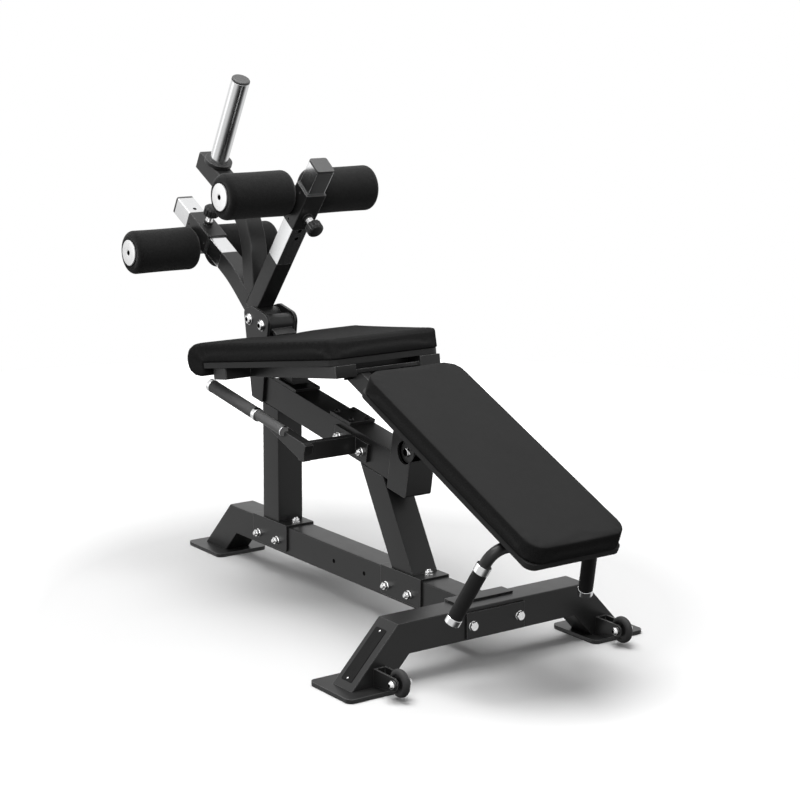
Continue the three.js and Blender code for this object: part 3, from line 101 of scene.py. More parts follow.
# ---------------------------------------------------------------- materials
class Nodes:
    """The node tree of a material or a world, built one node at a time."""

    def __init__(self, owner, place="Object"):
        self.owner = owner
        owner.use_nodes = True
        self.tree = owner.node_tree
        self.tree.nodes.clear()
        self.place = self.add("ShaderNodeTexCoord").outputs[place]

    def finish(self, shader, kind="ShaderNodeOutputMaterial"):
        self.tree.links.new(shader, self.add(kind).inputs["Surface"])
        return self.owner

    def add(self, kind, settings=None, **inputs):
        node = self.tree.nodes.new(kind)
        for key, value in (settings or {}).items():
            setattr(node, key, value)
        for key, value in inputs.items():
            self.put(node.inputs[key.replace("_", " ")], value)
        return node

    def put(self, socket, value):
        if isinstance(value, bpy.types.NodeSocket):
            self.tree.links.new(value, socket)
        else:
            socket.default_value = value

    def noise(self, scale, detail=3.0):
        """A noise texture's height, 0 to 1."""
        return self.add("ShaderNodeTexNoise", Vector=self.place, Scale=scale, Detail=detail).outputs[0]

    def cells(self, scale):
        """Each point's distance from the middle of its small cell."""
        return self.add("ShaderNodeTexVoronoi", Vector=self.place, Scale=scale).outputs["Distance"]

    def dot(self, first, second):
        node = self.add("ShaderNodeVectorMath", {"operation": "DOT_PRODUCT"})
        self.put(node.inputs[0], first)
        self.put(node.inputs[1], second)
        return node.outputs["Value"]

    def math(self, operation, first, second):
        node = self.add("ShaderNodeMath", {"operation": operation})
        self.put(node.inputs[0], first)
        self.put(node.inputs[1], second)
        return node.outputs[0]

    def spread(self, value, low, high, start=0.3, stop=0.7):
        """Runs from low to high while the value runs from start to stop."""
        node = self.add("ShaderNodeMapRange", Value=value)
        ends = {"From Min": start, "From Max": stop, "To Min": low, "To Max": high}
        for key, number in ends.items():
            node.inputs[key].default_value = number
        return node.outputs[0]

    def mix(self, share, first, second):
        """A mix of two colours."""
        node = self.add("ShaderNodeMix", {"data_type": "RGBA"})
        self.put(node.inputs["Factor"], share)
        self.put(node.inputs[6], first)
        self.put(node.inputs[7], second)
        return node.outputs[2]

    def bump(self, height, depth, normal=None, strength=1.0):
        node = self.add("ShaderNodeBump", Height=height, Distance=depth, Strength=strength)
        if normal:
            self.put(node.inputs["Normal"], normal)
        return node.outputs[0]

    def edges(self, radius):
        """The rounded normal, and a mask that is 1 on sharp outer edges, for a painted edge highlight.
        """
        rounded = self.add("ShaderNodeBevel", {"samples": 6}, Radius=radius).outputs[0]
        flat = self.add("ShaderNodeNewGeometry").outputs["True Normal"]
        return rounded, self.spread(self.dot(rounded, flat), 1.0, 0.0, 0.80, 0.97)


def grey(level, tint=(1.0, 1.0, 1.0)):
    """A colour of one level, a little tinted."""
    return (level * tint[0], level * tint[1], level * tint[2], 1.0)


def surface(name, tone, rough, mottle, patch, grain=None, cells=None, edge=0.0, metallic=0.0,
            gloss=0.5, tint=(1.0, 1.0, 1.0), radius=0.0012, uneven=0.03):
    """A finish with mottled colour and gloss, a fine grain, and edges made a little lighter by a
    painted highlight.

    `patch` is the mottling's scale, `grain` and `cells` are the (scale, depth) of two bump layers,
    `edge` is the tone of the painted edge highlight, and `radius` is how far from an edge it shows.
    """
    nodes = Nodes(bpy.data.materials.new(name))
    shader = nodes.add("ShaderNodeBsdfPrincipled")
    clouds = nodes.spread(nodes.noise(patch, 5.0), 0.0, 1.0)
    colour = nodes.mix(clouds, grey(tone * (1 - mottle), tint), grey(tone * (1 + mottle), tint))
    wear = nodes.noise(patch * 2.3, 6.0)
    nodes.put(shader.inputs["Roughness"], nodes.spread(wear, rough - uneven, rough + uneven))
    normal = None
    if edge:
        # Painted highlight: along edges the colour is mixed toward the paler `edge` tone.
        normal, highlight_mask = nodes.edges(radius)
        colour = nodes.mix(highlight_mask, colour, grey(edge, tint))
    nodes.put(shader.inputs["Base Color"], colour)
    shader.inputs["Metallic"].default_value = metallic
    shader.inputs["Specular IOR Level"].default_value = gloss
    if grain:
        normal = nodes.bump(nodes.noise(grain[0], 3.0), grain[1], normal)
    if cells:
        normal = nodes.bump(nodes.cells(cells[0]), cells[1], normal)
    if normal:
        nodes.put(shader.inputs["Normal"], normal)
    return nodes.finish(shader.outputs[0])


# The `edge` tones below paint a highlight along each finish's outer edges.
PAINT = surface(
    "powder_coat_black", tone=0.0198, rough=0.36, mottle=0.05, patch=14.0, grain=(1300.0, 0.00003),
    edge=0.26, gloss=0.34, radius=0.0022, uneven=0.015,
)
SLEEVE = surface(
    "grey_sleeve", tone=0.12, rough=0.45, mottle=0.05, patch=30.0, grain=(1300.0, 0.00003),
    gloss=0.35,
)
CHROME = surface(
    "chrome_plate", tone=0.80, rough=0.18, mottle=0.01, patch=30.0, metallic=1.0,
    tint=(0.99, 0.995, 1.0), uneven=0.01,
)
ZINC = surface(
    "bright_zinc_bolts", tone=0.86, rough=0.20, mottle=0.06, patch=160.0, grain=(900.0, 0.00001),
    metallic=1.0,
)
ALLOY = surface(
    "turned_aluminium", tone=0.90, rough=0.30, mottle=0.04, patch=60.0, grain=(700.0, 0.00001),
    metallic=0.85,
)
TYRE = surface(
    "tyre_rubber", tone=0.043, rough=0.70, mottle=0.15, patch=45.0, grain=(1500.0, 0.00008),
    gloss=0.35,
)
GRIP = surface(
    "grip_rubber", tone=0.024, rough=0.65, mottle=0.10, patch=60.0, grain=(1800.0, 0.00006),
    gloss=0.15, cells=(900.0, 0.00003),
)
END_DISC = surface(
    "grey_end_disc", tone=0.34, rough=0.45, mottle=0.04, patch=60.0, grain=(900.0, 0.00002),
    gloss=0.4,
)
SIDE_GRIP = surface(
    "side_grip_rubber", tone=0.125, rough=0.62, mottle=0.10, patch=60.0, grain=(1800.0, 0.00006),
    gloss=0.25, cells=(900.0, 0.00003),
)
PLASTIC = surface(
    "cap_plastic", tone=0.054, rough=0.44, mottle=0.02, patch=50.0, grain=(1600.0, 0.000004),
    edge=0.10, gloss=0.5, radius=0.0012,
)
KNOB = surface(
    "knob_plastic", tone=0.016, rough=0.45, mottle=0.10, patch=80.0, grain=(1500.0, 0.00004),
    edge=0.05, gloss=0.4, radius=0.0008,
)
SEAT_BOARD = surface(
    "seat_board_black", tone=0.024, rough=0.50, mottle=0.08, patch=25.0, grain=(1100.0, 0.00004),
    edge=0.07, gloss=0.22,
)
# Painted light: the same black board as the seat's, made paler to lift the shade on the back pad's
# downward face.
BACK_BOARD_LIT = surface(
    "back_board_black_painted_light", tone=0.048, rough=0.62, mottle=0.10, patch=25.0, grain=(1100.0, 0.00004),
    edge=0.05, gloss=0.08,
)
# Painted shade: near black for the floors of holes and of bolt and axle sockets, where there is only
# shade.
RECESS_SHADE = surface(
    "painted_recess_shade", tone=0.003, rough=0.90, mottle=0.10, patch=50.0, grain=(900.0, 0.00003),
    gloss=0.05,
)
PLATE = surface(
    "bare_nameplate", tone=0.012, rough=0.60, mottle=0.12, patch=40.0, grain=(1200.0, 0.00003),
    edge=0.03, gloss=0.10, radius=0.0006,
)
BLACK_OXIDE = surface(
    "black_oxide_bolts", tone=0.012, rough=0.45, mottle=0.15, patch=120.0, grain=(900.0, 0.00003),
    metallic=0.3,
)


def foam_material():
    """Closed-cell foam: near black, matte, with a soft felted skin."""
    nodes = Nodes(bpy.data.materials.new("foam_sleeve"))
    shader = nodes.add("ShaderNodeBsdfPrincipled")
    tone = nodes.mix(nodes.spread(nodes.noise(260.0, 5.0), 0, 1), grey(0.0037), grey(0.0097))
    nodes.put(shader.inputs["Base Color"], tone)
    nodes.put(shader.inputs["Roughness"], nodes.spread(nodes.noise(90.0), 0.86, 0.98))
    shader.inputs["Specular IOR Level"].default_value = 0.15
    shader.inputs["Sheen Weight"].default_value = 0.18
    shader.inputs["Sheen Roughness"].default_value = 0.5
    felt = nodes.bump(nodes.noise(330.0, 6.0), 0.0007)
    nodes.put(shader.inputs["Normal"], nodes.bump(nodes.cells(520.0), 0.0003, felt))
    return nodes.finish(shader.outputs[0])


FOAM = foam_material()


def pad_vinyl(name, up, lit_face_tone, band_tone):
    """Upholstery vinyl: smooth on the face that looks along `up` and grained on the band; that face
    takes its own tone, painted light and shade for how the top light falls on it.
    """
    nodes = Nodes(bpy.data.materials.new(name))
    shader = nodes.add("ShaderNodeBsdfPrincipled")
    facing = nodes.dot(nodes.add("ShaderNodeTexCoord").outputs["Normal"], up)
    top = nodes.spread(facing, 0.0, 1.0, 0.45, 0.70)
    specks = nodes.spread(nodes.noise(420.0, 5.0), 0.0, 1.0)
    clouds = nodes.spread(nodes.noise(9.0, 4.0), 0.0, 1.0)
    band = nodes.mix(specks, grey(band_tone * 0.75), grey(band_tone * 1.25))
    face = nodes.mix(clouds, grey(lit_face_tone * 0.97), grey(lit_face_tone * 1.03))
    # Painted light and shade: the face that looks along `up` gets the pad's own face tone.
    nodes.put(shader.inputs["Base Color"], nodes.mix(top, band, face))
    nodes.put(shader.inputs["Roughness"], nodes.spread(nodes.noise(60.0, 4.0), 0.80, 0.88))
    shader.inputs["Specular IOR Level"].default_value = 0.03
    depth = nodes.spread(top, 1.0, 0.3, 0.0, 1.0)
    grain = nodes.bump(nodes.noise(700.0, 3.0), 0.00018, strength=depth)
    nodes.put(shader.inputs["Normal"], nodes.bump(nodes.cells(800.0), 0.00008, grain))
    return nodes.finish(shader.outputs[0])


# ---------------------------------------------------------------- mesh tools
CHAMFER_SHARE = 0.3  # of a plate's thickness
CORNER_STEPS = 5
LEAST_CORNER = 0.0002


class Shape:
    """One piece's mesh, put together from turned and swept forms."""

    def __init__(self):
        self.mesh = bmesh.new()

    def face(self, corners, material):
        made = self.mesh.faces.new(corners)
        made.material_index = material
        made.smooth = True

    def loft(self, rings, material=0):
        """Joins rings of vertices; a ring of one vertex closes the form."""
        for first, second in zip(rings, rings[1:]):
            count = max(len(first), len(second))
            for k in range(count):
                n = (k + 1) % count
                if len(first) == 1:
                    self.face([first[0], second[n], second[k]], material)
                elif len(second) == 1:
                    self.face([first[k], first[n], second[0]], material)
                else:
                    self.face([first[k], first[n], second[n], second[k]], material)

    def turned(self, base, axis, profile, material=0, sides=48):
        """A profile of (along, radius) about a line; a row's third value shapes its ring."""
        axis = Vector(axis).normalized()
        across = axis.cross(Z if abs(axis.z) < 0.9 else X).normalized()
        beside = axis.cross(across)
        rings = []
        for along, radius, *shape in profile:
            centre = Vector(base) + axis * along
            if radius == 0:
                rings.append([self.mesh.verts.new(centre)])
                continue
            ring = []
            for k in range(sides):
                angle = 2 * math.pi * k / sides
                size = radius * (shape[0](angle) if shape else 1.0)
                point = centre + across * (size * math.cos(angle)) + beside * (size * math.sin(angle))
                ring.append(self.mesh.verts.new(point))
            rings.append(ring)
        self.loft(rings, material)

    def slab(self, centre, along, across, up, size, thickness, corner):
        """A plate on its centre point, with rounded corners and a chamfer round its top."""
        half_a, half_b = size[0] / 2, size[1] / 2
        rings = []
        chamfer = thickness * CHAMFER_SHARE
        for height, inset in ((0, 0), (thickness - chamfer, 0), (thickness, chamfer)):
            ring = []
            radius = max(corner - inset, LEAST_CORNER)
            for quarter, (sa, sb) in enumerate(((1, 1), (-1, 1), (-1, -1), (1, -1))):
                for k in range(CORNER_STEPS + 1):
                    angle = math.pi / 2 * (quarter + k / CORNER_STEPS)
                    a = sa * (half_a - inset - radius) + radius * math.cos(angle)
                    b = sb * (half_b - inset - radius) + radius * math.sin(angle)
                    point = centre + along * a + across * b + up * height
                    ring.append(self.mesh.verts.new(point))
            rings.append(ring)
        floor = self.mesh.verts.new(centre)
        roof = self.mesh.verts.new(centre + up * thickness)
        self.loft([[floor], *rings, [roof]])

    def place(self, name, materials, body, slot, replaces=(), sharp=32.0):
        """Makes the piece, with edges sharper than an angle left crisp, and hands it to its body."""
        mesh = self.mesh
        bmesh.ops.recalc_face_normals(mesh, faces=mesh.faces)
        for edge in mesh.edges:
            if len(edge.link_faces) == 2 and edge.calc_face_angle(0) > math.radians(sharp):
                edge.smooth = False
        data = bpy.data.meshes.new(name)
        mesh.to_mesh(data)
        mesh.free()
        made = bpy.data.objects.new(name, data)
        bpy.context.scene.collection.objects.link(made)
        for material in materials:
            data.materials.append(material)
        return hand_over(made, body, replaces)


def hand_over(made, body, replaces=()):
    """Puts a piece on its body, in place of the CAD nodes that it replaces."""
    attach(made, body)
    if replaces:
        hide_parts(*replaces)
    return made


def hexagon(angle):
    """How far a hexagon's side lies along an angle, as a share of its corner radius."""
    wedge = math.pi / 3
    return math.cos(wedge / 2) / math.cos(angle % wedge - wedge / 2)


def fluted(angle):
    """Twelve shallow finger grooves."""
    return 1 - 0.085 * max(0.0, math.cos(12 * angle)) ** 1.5


def ridged(angle):
    """Fine tread across a tyre."""
    return 1 - 0.012 * max(0.0, math.cos(40 * angle)) ** 2


# ---------------------------------------------------------------- finishes of the CAD nodes
CRISP_EDGE = math.radians(38)


def finish_of(name):
    """The finish of a CAD node, by its name."""
    if name.endswith("foot_pad") or name.startswith("wheel_left") or name.startswith("wheel_right"):
        return TYRE
    if name == "side_handle_grip":
        return SIDE_GRIP
    if "grip" in name:
        return GRIP
    if name in ("upper_slide_tube", "lower_slide_tube", "weight_horn"):
        return CHROME
    if name.endswith("_cap") or name.endswith("pull_pin"):
        return PLASTIC
    if name == "seat_board":
        return SEAT_BOARD
    if name == "backrest_board":
        return BACK_BOARD_LIT
    if name.endswith("_bolt"):
        return ZINC
    if name.endswith("_axle"):
        return ALLOY
    if name.endswith("_cushion"):
        return GRIP
    if "_roller_left" in name or "_roller_right" in name:
        return FOAM
    return PAINT


for node_name, node in NODES.items():
    if not node.material_slots:
        node.data.materials.append(None)
    for material_slot in node.material_slots:
        material_slot.material = finish_of(node_name)
    for polygon in node.data.polygons:
        polygon.use_smooth = True
    weld = node.modifiers.new("join_seams", "WELD")
    weld.merge_threshold = SAME_POINT
    split = node.modifiers.new("crisp_edges", "EDGE_SPLIT")
    split.split_angle = CRISP_EDGE
    weighted = node.modifiers.new("even_shading", "WEIGHTED_NORMAL")
    weighted.keep_sharp = True


# ---------------------------------------------------------------- cushions
VOXEL = 0.0042
CLOTH_FRAMES = 20
SWELL = 0.0025  # the furthest that stuffing moves a point
SEAT_ORIGIN = (0, 0, 684.2)
SEAT_RISE = 8.4  # degrees
BACK_RISE = -23.9
SEAT_ROLL_X = -0.25  # behind this the seat rolls down over its rear end
SEAT_UNDERSIDE = -0.044  # heights in the pads' own axes
BACK_UNDERSIDE = 0.132
PAD_LIT_TONES = {"seat_pad": (0.0185, 0.026), "back_pad": (0.0310, 0.026)}  # of the face and the band; the face tones are painted light and shade, set per pad for how the top light falls on it


def axes(origin, along):
    """A matrix whose X runs along a direction in the side view and whose Z stands out of it."""
    up = Vector((-along.z, 0, along.x))
    turn = Matrix((along, Y, up)).transposed().to_4x4()
    return Matrix.Translation(origin) @ turn


SEAT_AXES = axes(at(*SEAT_ORIGIN), heading(SEAT_RISE))
PAD_AXES = axes(Vector(JOINTS["backrest_tilt"]["pos_m"]), heading(BACK_RISE))


def rests_on_seat_board(point):
    """The flat bottom of the seat, but not its rolled rear end."""
    return point.x > SEAT_ROLL_X and point.z < SEAT_UNDERSIDE


def rests_on_back_board(point):
    """The flat back of the back pad."""
    return point.z < BACK_UNDERSIDE


def inflate(pad, still):
    """Blows a pad up a little with Cloth; `still` says which vertices stay."""
    before = [vertex.co.copy() for vertex in pad.data.vertices]
    fixed = pad.vertex_groups.new(name="fixed")
    fixed.add([k for k, point in enumerate(before) if still(point)], 1.0, "REPLACE")
    cloth = pad.modifiers.new("stuffing", "CLOTH")
    settings = cloth.settings
    settings.quality = 5
    settings.mass = 0.3
    settings.tension_stiffness = 25
    settings.compression_stiffness = 25
    settings.bending_stiffness = 4
    settings.use_pressure = True
    settings.uniform_pressure_force = 4
    settings.effector_weights.gravity = 0
    settings.vertex_group_mass = "fixed"
    cloth.point_cache.frame_start = 1
    cloth.point_cache.frame_end = CLOTH_FRAMES
    for step in range(1, CLOTH_FRAMES + 1):
        bpy.context.scene.frame_set(step)
    graph = bpy.context.evaluated_depsgraph_get()
    after = [vertex.co.copy() for vertex in pad.evaluated_get(graph).data.vertices]
    pad.modifiers.remove(cloth)
    bpy.context.scene.frame_set(1)
    for vertex, start, stop in zip(pad.data.vertices, before, after):
        move = stop - start
        if move.length > SWELL:
            move *= SWELL / move.length
        vertex.co = start + move


def edit(mesh, operation, **settings):
    """Runs one bmesh operation on all vertices of a mesh."""
    work = bmesh.new()
    work.from_mesh(mesh)
    operation(work, verts=work.verts, **settings)
    work.to_mesh(mesh)
    work.free()


def upholstered(name, node, placed, still, body):
    """The pad as its CAD solid has it, remeshed, stuffed, smoothed and covered in vinyl."""
    mesh = NODES[node].data.copy()
    mesh.name = name
    mesh.transform(placed.inverted())
    edit(mesh, bmesh.ops.remove_doubles, dist=SAME_POINT)
    pad = bpy.data.objects.new(name, mesh)
    bpy.context.scene.collection.objects.link(pad)
    remesh = pad.modifiers.new("even_faces", "REMESH")
    remesh.mode = "VOXEL"
    remesh.voxel_size = VOXEL
    graph = bpy.context.evaluated_depsgraph_get()
    pad.data = bpy.data.meshes.new_from_object(pad.evaluated_get(graph))
    pad.modifiers.clear()
    inflate(pad, still)
    edit(pad.data, bmesh.ops.smooth_vert, factor=0.5,
         use_axis_x=True, use_axis_y=True, use_axis_z=True)
    pad.data.materials.clear()
    pad.data.materials.append(pad_vinyl(f"{name}_vinyl", placed.to_3x3() @ Z, *PAD_LIT_TONES[name]))
    for polygon in pad.data.polygons:
        polygon.use_smooth = True
        polygon.material_index = 0
    pad.data.transform(placed)
    subdivision = pad.modifiers.new("soft_surface", "SUBSURF")
    subdivision.levels = 1
    subdivision.render_levels = 1
    hand_over(pad, body, (node,))


upholstered("seat_pad", "seat_cushion", SEAT_AXES, rests_on_seat_board, "frame")
upholstered("back_pad", "backrest_cushion", PAD_AXES, rests_on_back_board, "backrest")


# ---------------------------------------------------------------- foam rollers and their axles
ROLLER = 0.0588
ROLLER_EDGE = 0.0145  # the radius of the foam's rounded ends
ROLLER_REACH = 0.006  # how far the foam laps over the carrier's boss
BOSS = 0.0205
AXLE = 0.0125
AXLE_HALF = 0.225
AXLE_GAP = 0.0004
DISC = 0.035


def arc(centre_along, centre_radius, radius, start, stop, steps=8):
    """Profile points (along, radius) on an arc; angles are in degrees from the outward direction."""
    points = []
    for k in range(steps + 1):
        angle = math.radians(start + (stop - start) * k / steps)
        along = centre_along + radius * math.sin(angle)
        points.append((along, centre_radius + radius * math.cos(angle)))
    return points


def foam_roller(level, side, sign):
    """A foam sleeve with rounded ends, a slight waist and a recess over the carrier's boss."""
    node = f"{level}_roller_{side}"
    low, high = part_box(node)
    length = high.y - low.y
    base = Vector((middle(node).x, low.y if sign > 0 else high.y, middle(node).z))
    start = -ROLLER_REACH
    profile = [
        (0.0005, AXLE + AXLE_GAP),
        (0.0005, BOSS),
        (start + 0.002, BOSS + 0.0005),
        (start + 0.0005, BOSS + 0.002),
        (start, 0.034),
        *arc(start + ROLLER_EDGE, ROLLER - ROLLER_EDGE, ROLLER_EDGE, -90, 0),
        (length * 0.25, ROLLER - 0.0004),
        (length * 0.5, ROLLER - 0.0007),
        (length * 0.75, ROLLER - 0.0004),
        *arc(length - ROLLER_EDGE, ROLLER - ROLLER_EDGE, ROLLER_EDGE, 0, 90),
        (length - 0.0005, DISC + 0.003),
        (length - 0.0025, DISC - 0.001),
        (length - 0.003, AXLE + AXLE_GAP),
    ]
    roller = Shape()
    roller.turned(base, Y * sign, profile, sides=96)
    made = roller.place(f"{level}_foam_{side}", [FOAM], node, "foam_roller", (node,), sharp=80)


def roller_axle(level):
    """The axle through a pair of rollers, with a domed disc and a small socket painted dark with shade
    at each end.
    """
    centre = middle(f"{level}_roller_axle")
    length = 2 * AXLE_HALF
    axle = Shape()
    axle.turned(centre - Y * AXLE_HALF, Y, [(0, 0), (0, AXLE), (length, AXLE), (length, 0)], 0, 32)
    for sign in (-1, 1):
        base = centre + Y * sign * (AXLE_HALF - 0.0005)
        axle.turned(base, Y * sign, [
            (0.0, AXLE), (0.0, DISC - 0.001), (0.001, DISC), (0.0035, DISC),
            (0.0045, DISC - 0.0012), (0.0048, DISC - 0.004),
            (0.0049, 0.0095), (0.0042, 0.0085), (0.0042, 0.0070),
        ], 1, 64)
        axle.turned(base, Y * sign, [
            (0.0042, 0.0070), (0.0049, 0.0062), (0.0049, 0.0048), (0.0010, 0.0045), (0.0010, 0.0),
        ], 2, 24)
    axle.place(f"{level}_axle_and_discs", [ZINC, ALLOY, RECESS_SHADE], f"{level}_carrier", "axle_alloy",
               (f"{level}_roller_axle",))


for level in ("upper", "lower"):
    for side, sign in SIDES:
        foam_roller(level, side, sign)
    roller_axle(level)


# ---------------------------------------------------------------- pull pins
KNOB_R = 0.0216
THREADS = 6
THREAD_PITCH = 0.0020


def pull_pin(level):
    """A fluted knob on its rod, and the threaded neck that stays on the carrier."""
    axis = Vector(JOINTS[f"{level}_pin_pull"]["axis"]).normalized()
    top = far_end(f"{level}_pull_pin", axis)
    pin = Shape()
    pin.turned(top, axis, [
        (-0.0300, 0.0), (-0.0300, 0.0125), (-0.0285, 0.0145), (-0.0255, 0.0195, fluted),
        (-0.0240, KNOB_R, fluted), (-0.0055, KNOB_R, fluted),
        (-0.0032, 0.0196, fluted), (-0.0012, 0.0176), (-0.0002, 0.0150), (-0.0002, 0.0),
    ], 0, 96)
    pin.turned(top, axis, [
        (-0.058, 0.0), (-0.058, 0.0042), (-0.057, 0.005), (-0.0295, 0.005), (-0.0295, 0.0),
    ], 1, 24)
    pin.place(f"{level}_pull_knob", [KNOB, ZINC], f"{level}_pin", "plastic_cap",
              (f"{level}_pull_pin",))
    neck = Shape()
    profile = [(-0.0458, 0.0055), (-0.0458, 0.0104), (-0.0440, 0.0104), (-0.0440, 0.0092)]
    for k in range(THREADS):
        along = -0.0436 + THREAD_PITCH * k
        profile += [(along, 0.0092), (along + 0.0008, 0.0098), (along + 0.0012, 0.0098)]
    profile += [(-0.0312, 0.0092), (-0.0306, 0.0086), (-0.0306, 0.0055)]
    neck.turned(top, axis, profile, 0, 32)
    neck.place(f"{level}_plunger_neck", [ZINC], f"{level}_carrier", "chrome_plate")


pull_pin("upper")
pull_pin("lower")


# ---------------------------------------------------------------- bolts
# Places are in millimetres from the bench's own origin. Each bolt lands on the CAD below it.
DOME_WASHER = 0.0016
HEX_WASHER = 0.0022
SADDLE_SIDE_BOLTS = (("rear_saddle", (-313.8, -221.7)), ("front_saddle", (278, 372.6)))
SADDLE_SIDE_Z = 102
SADDLE_TOP_BOLTS = (("rear_saddle", -197), ("front_saddle", 393))
CROSSBAR_BOLTS_Y = (-69, 69)
CROSSBAR_BOLTS_Z = 105
SIDE_HANDLE_BOLTS = ((73.8, 440), (172.2, 420))
SEAT_POST_X = -229.6
SEAT_POST_BOLTS_Y = (-30, 30)
BEAM_HOLES_X = (40, 175)
BEAM_HOLES_Z = 106.5
PLATE_SCREWS_X = (36.5, 98.5)
PLATE_SCREWS_Y = (-25, 25)
LUG_FACE_Y = 0.0282  # metres from the middle plane


def dome_bolt(shape, spot, out, radius, height, socket=0.46):
    """A round head on a thin washer; its hexagon socket, painted with shade, takes up that share of
    its radius.
    """
    rim, key = radius * socket, radius * (socket - 0.04)
    crown, bottom = DOME_WASHER + height, DOME_WASHER + height * 0.3
    shape.turned(spot, out, [
        (0.0, 0.0), (0.0, radius + 0.001), (0.0012, radius + 0.001),
        (DOME_WASHER, radius + 0.0004), (DOME_WASHER, radius),
        (DOME_WASHER + height * 0.35, radius * 0.96), (DOME_WASHER + height * 0.65, radius * 0.82),
        (DOME_WASHER + height * 0.88, radius * max(0.62, socket + 0.10)), (crown, rim),
    ], 0, 48)
    shape.turned(spot, out, [
        (crown, rim), (crown, key, hexagon), (bottom, key, hexagon), (bottom, 0.0),
    ], 1, 48)


def hex_bolt(shape, spot, out, corner=0.0105, thick=0.0078, washer=0.0112, stud=0.0):
    """A hexagon head or nut on a washer, with the bolt's domed end where it is a nut."""
    shape.turned(spot, out, [
        (0.0, 0.0), (0.0, washer), (0.0018, washer),
        (HEX_WASHER, washer - 0.0005), (HEX_WASHER, corner * 0.9),
    ], 0, 48)
    top = HEX_WASHER + thick
    shape.turned(spot, out, [
        (HEX_WASHER, corner * 0.86), (HEX_WASHER, corner, hexagon), (top - 0.0012, corner, hexagon),
        (top, corner * 0.84), (top, corner * 0.5), (top, 0.0),
    ], 0, 48)
    if stud:
        end = top + stud
        shape.turned(spot, out, [
            (top, 0.006), (end - 0.002, 0.006), (end, 0.0042), (end + 0.0006, 0.0),
        ], 0, 24)


def hole(shape, spot, out, radius):
    """A small drilled hole, as a disc of painted shade with a fine lip."""
    shape.turned(spot, out, [
        (0.00005, 0.0), (0.00025, radius * 0.96), (0.00035, radius), (0.0, radius * 1.08),
    ], 1, 24)


def wheel_centre(side):
    return Vector(JOINTS[f"wheel_{side}_spin"]["pos_m"])


def frame_bolts():
    """All the bright bolts of the frame, and the lower beam's two empty holes as discs of painted
    shade.
    """
    bolts = Shape()
    for saddle, places in SADDLE_SIDE_BOLTS:
        for x in places:
            for _, sign in SIDES:
                spot, normal = land(saddle, at(x, 90 * sign, SADDLE_SIDE_Z), Y * -sign)
                hex_bolt(bolts, spot, normal, stud=0.006 if sign < 0 else 0.0)
    for saddle, x in SADDLE_TOP_BOLTS:
        hex_bolt(bolts, *land(saddle, at(x, 0, 200), -Z), stud=0.004)
    for y in CROSSBAR_BOLTS_Y:
        spot, normal = land("crossbar_clamp_plate", at(760, y, CROSSBAR_BOLTS_Z), -X)
        hex_bolt(bolts, spot, normal, corner=0.0116, thick=0.0070, washer=0.0118)
        hex_bolt(bolts, *land("beam_end_flange", at(480, y, CROSSBAR_BOLTS_Z), X))
    for x, z in SIDE_HANDLE_BOLTS:
        hex_bolt(bolts, *land("side_handle", at(x, -90, z), Y), stud=0.005)
        hex_bolt(bolts, *land("upper_beam", at(x, 90, z), -Y))
    for y in SEAT_POST_BOLTS_Y:
        spot, normal = land("seat_post", at(SEAT_POST_X, y, 600), -Z)
        dome_bolt(bolts, spot, normal, radius=0.0085, height=0.0055)
    for x in BEAM_HOLES_X:
        hole(bolts, *land("lower_beam", at(x, -90, BEAM_HOLES_Z), Y), radius=0.0052)
    for side, _ in SIDES:
        wheel_at = wheel_centre(side)
        for out in (-1, 1):
            start = wheel_at + Vector((0.004, 0.08 * out, 0.0))
            spot, _ = land(f"wheel_fork_{side}", start, Y * -out)
            head = Vector((wheel_at.x, spot.y, wheel_at.z))
            dome_bolt(bolts, head, Y * out, radius=0.0088, height=0.0052)
    bolts.place("frame_bolts", [ZINC, RECESS_SHADE], "frame", "chrome_plate")


def plate_screws():
    """The four black screws of the plate on the upper beam."""
    screws = Shape()
    for x in PLATE_SCREWS_X:
        for y in PLATE_SCREWS_Y:
            spot, normal = land("beam_top_plate", at(x, y, 560), -Z)
            dome_bolt(screws, spot, normal, radius=0.0065, height=0.0040)
    screws.place("top_plate_screws", [BLACK_OXIDE, RECESS_SHADE], "frame", "black_paint")


def through_bolt(name, node, radius, rod, socket=0.46):
    """A through bolt with a domed socket head at each end."""
    low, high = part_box(node)
    centre = middle(node)
    inner = (high.y - low.y) / 2 - 0.009
    bolt = Shape()
    bolt.turned(centre - Y * inner, Y, [(0, 0), (0, rod), (2 * inner, rod), (2 * inner, 0)], 0, 32)
    for sign in (-1, 1):
        dome_bolt(bolt, centre + Y * sign * inner, Y * sign, radius, 0.0072, socket)
    bolt.place(name, [ZINC, RECESS_SHADE], "frame", "chrome_plate", (node,))


def hinge_lugs():
    """The painted faces of the back pad's hinge lugs, behind the bracket's access holes."""
    faces = Shape()
    for sign in (-1, 1):
        faces.turned(middle("backrest_hinge_bolt") + Y * sign * LUG_FACE_Y, Y * sign, [
            (0.0, 0.0095), (0.0, 0.0258), (0.0004, 0.0261), (0.0008, 0.0256), (0.0008, 0.0095),
        ], 0, 64)
    faces.place("hinge_lug_faces", [PAINT], "backrest", "black_paint")


frame_bolts()
plate_screws()
through_bolt("lever_pivot_bolt_heads", "lever_pivot_bolt", radius=0.0140, rod=0.010)
through_bolt("spacer_bolt_heads", "spacer_bolt", radius=0.0140, rod=0.010)
through_bolt("hinge_bolt_heads", "backrest_hinge_bolt", radius=0.0125, rod=0.008, socket=0.72)
hinge_lugs()


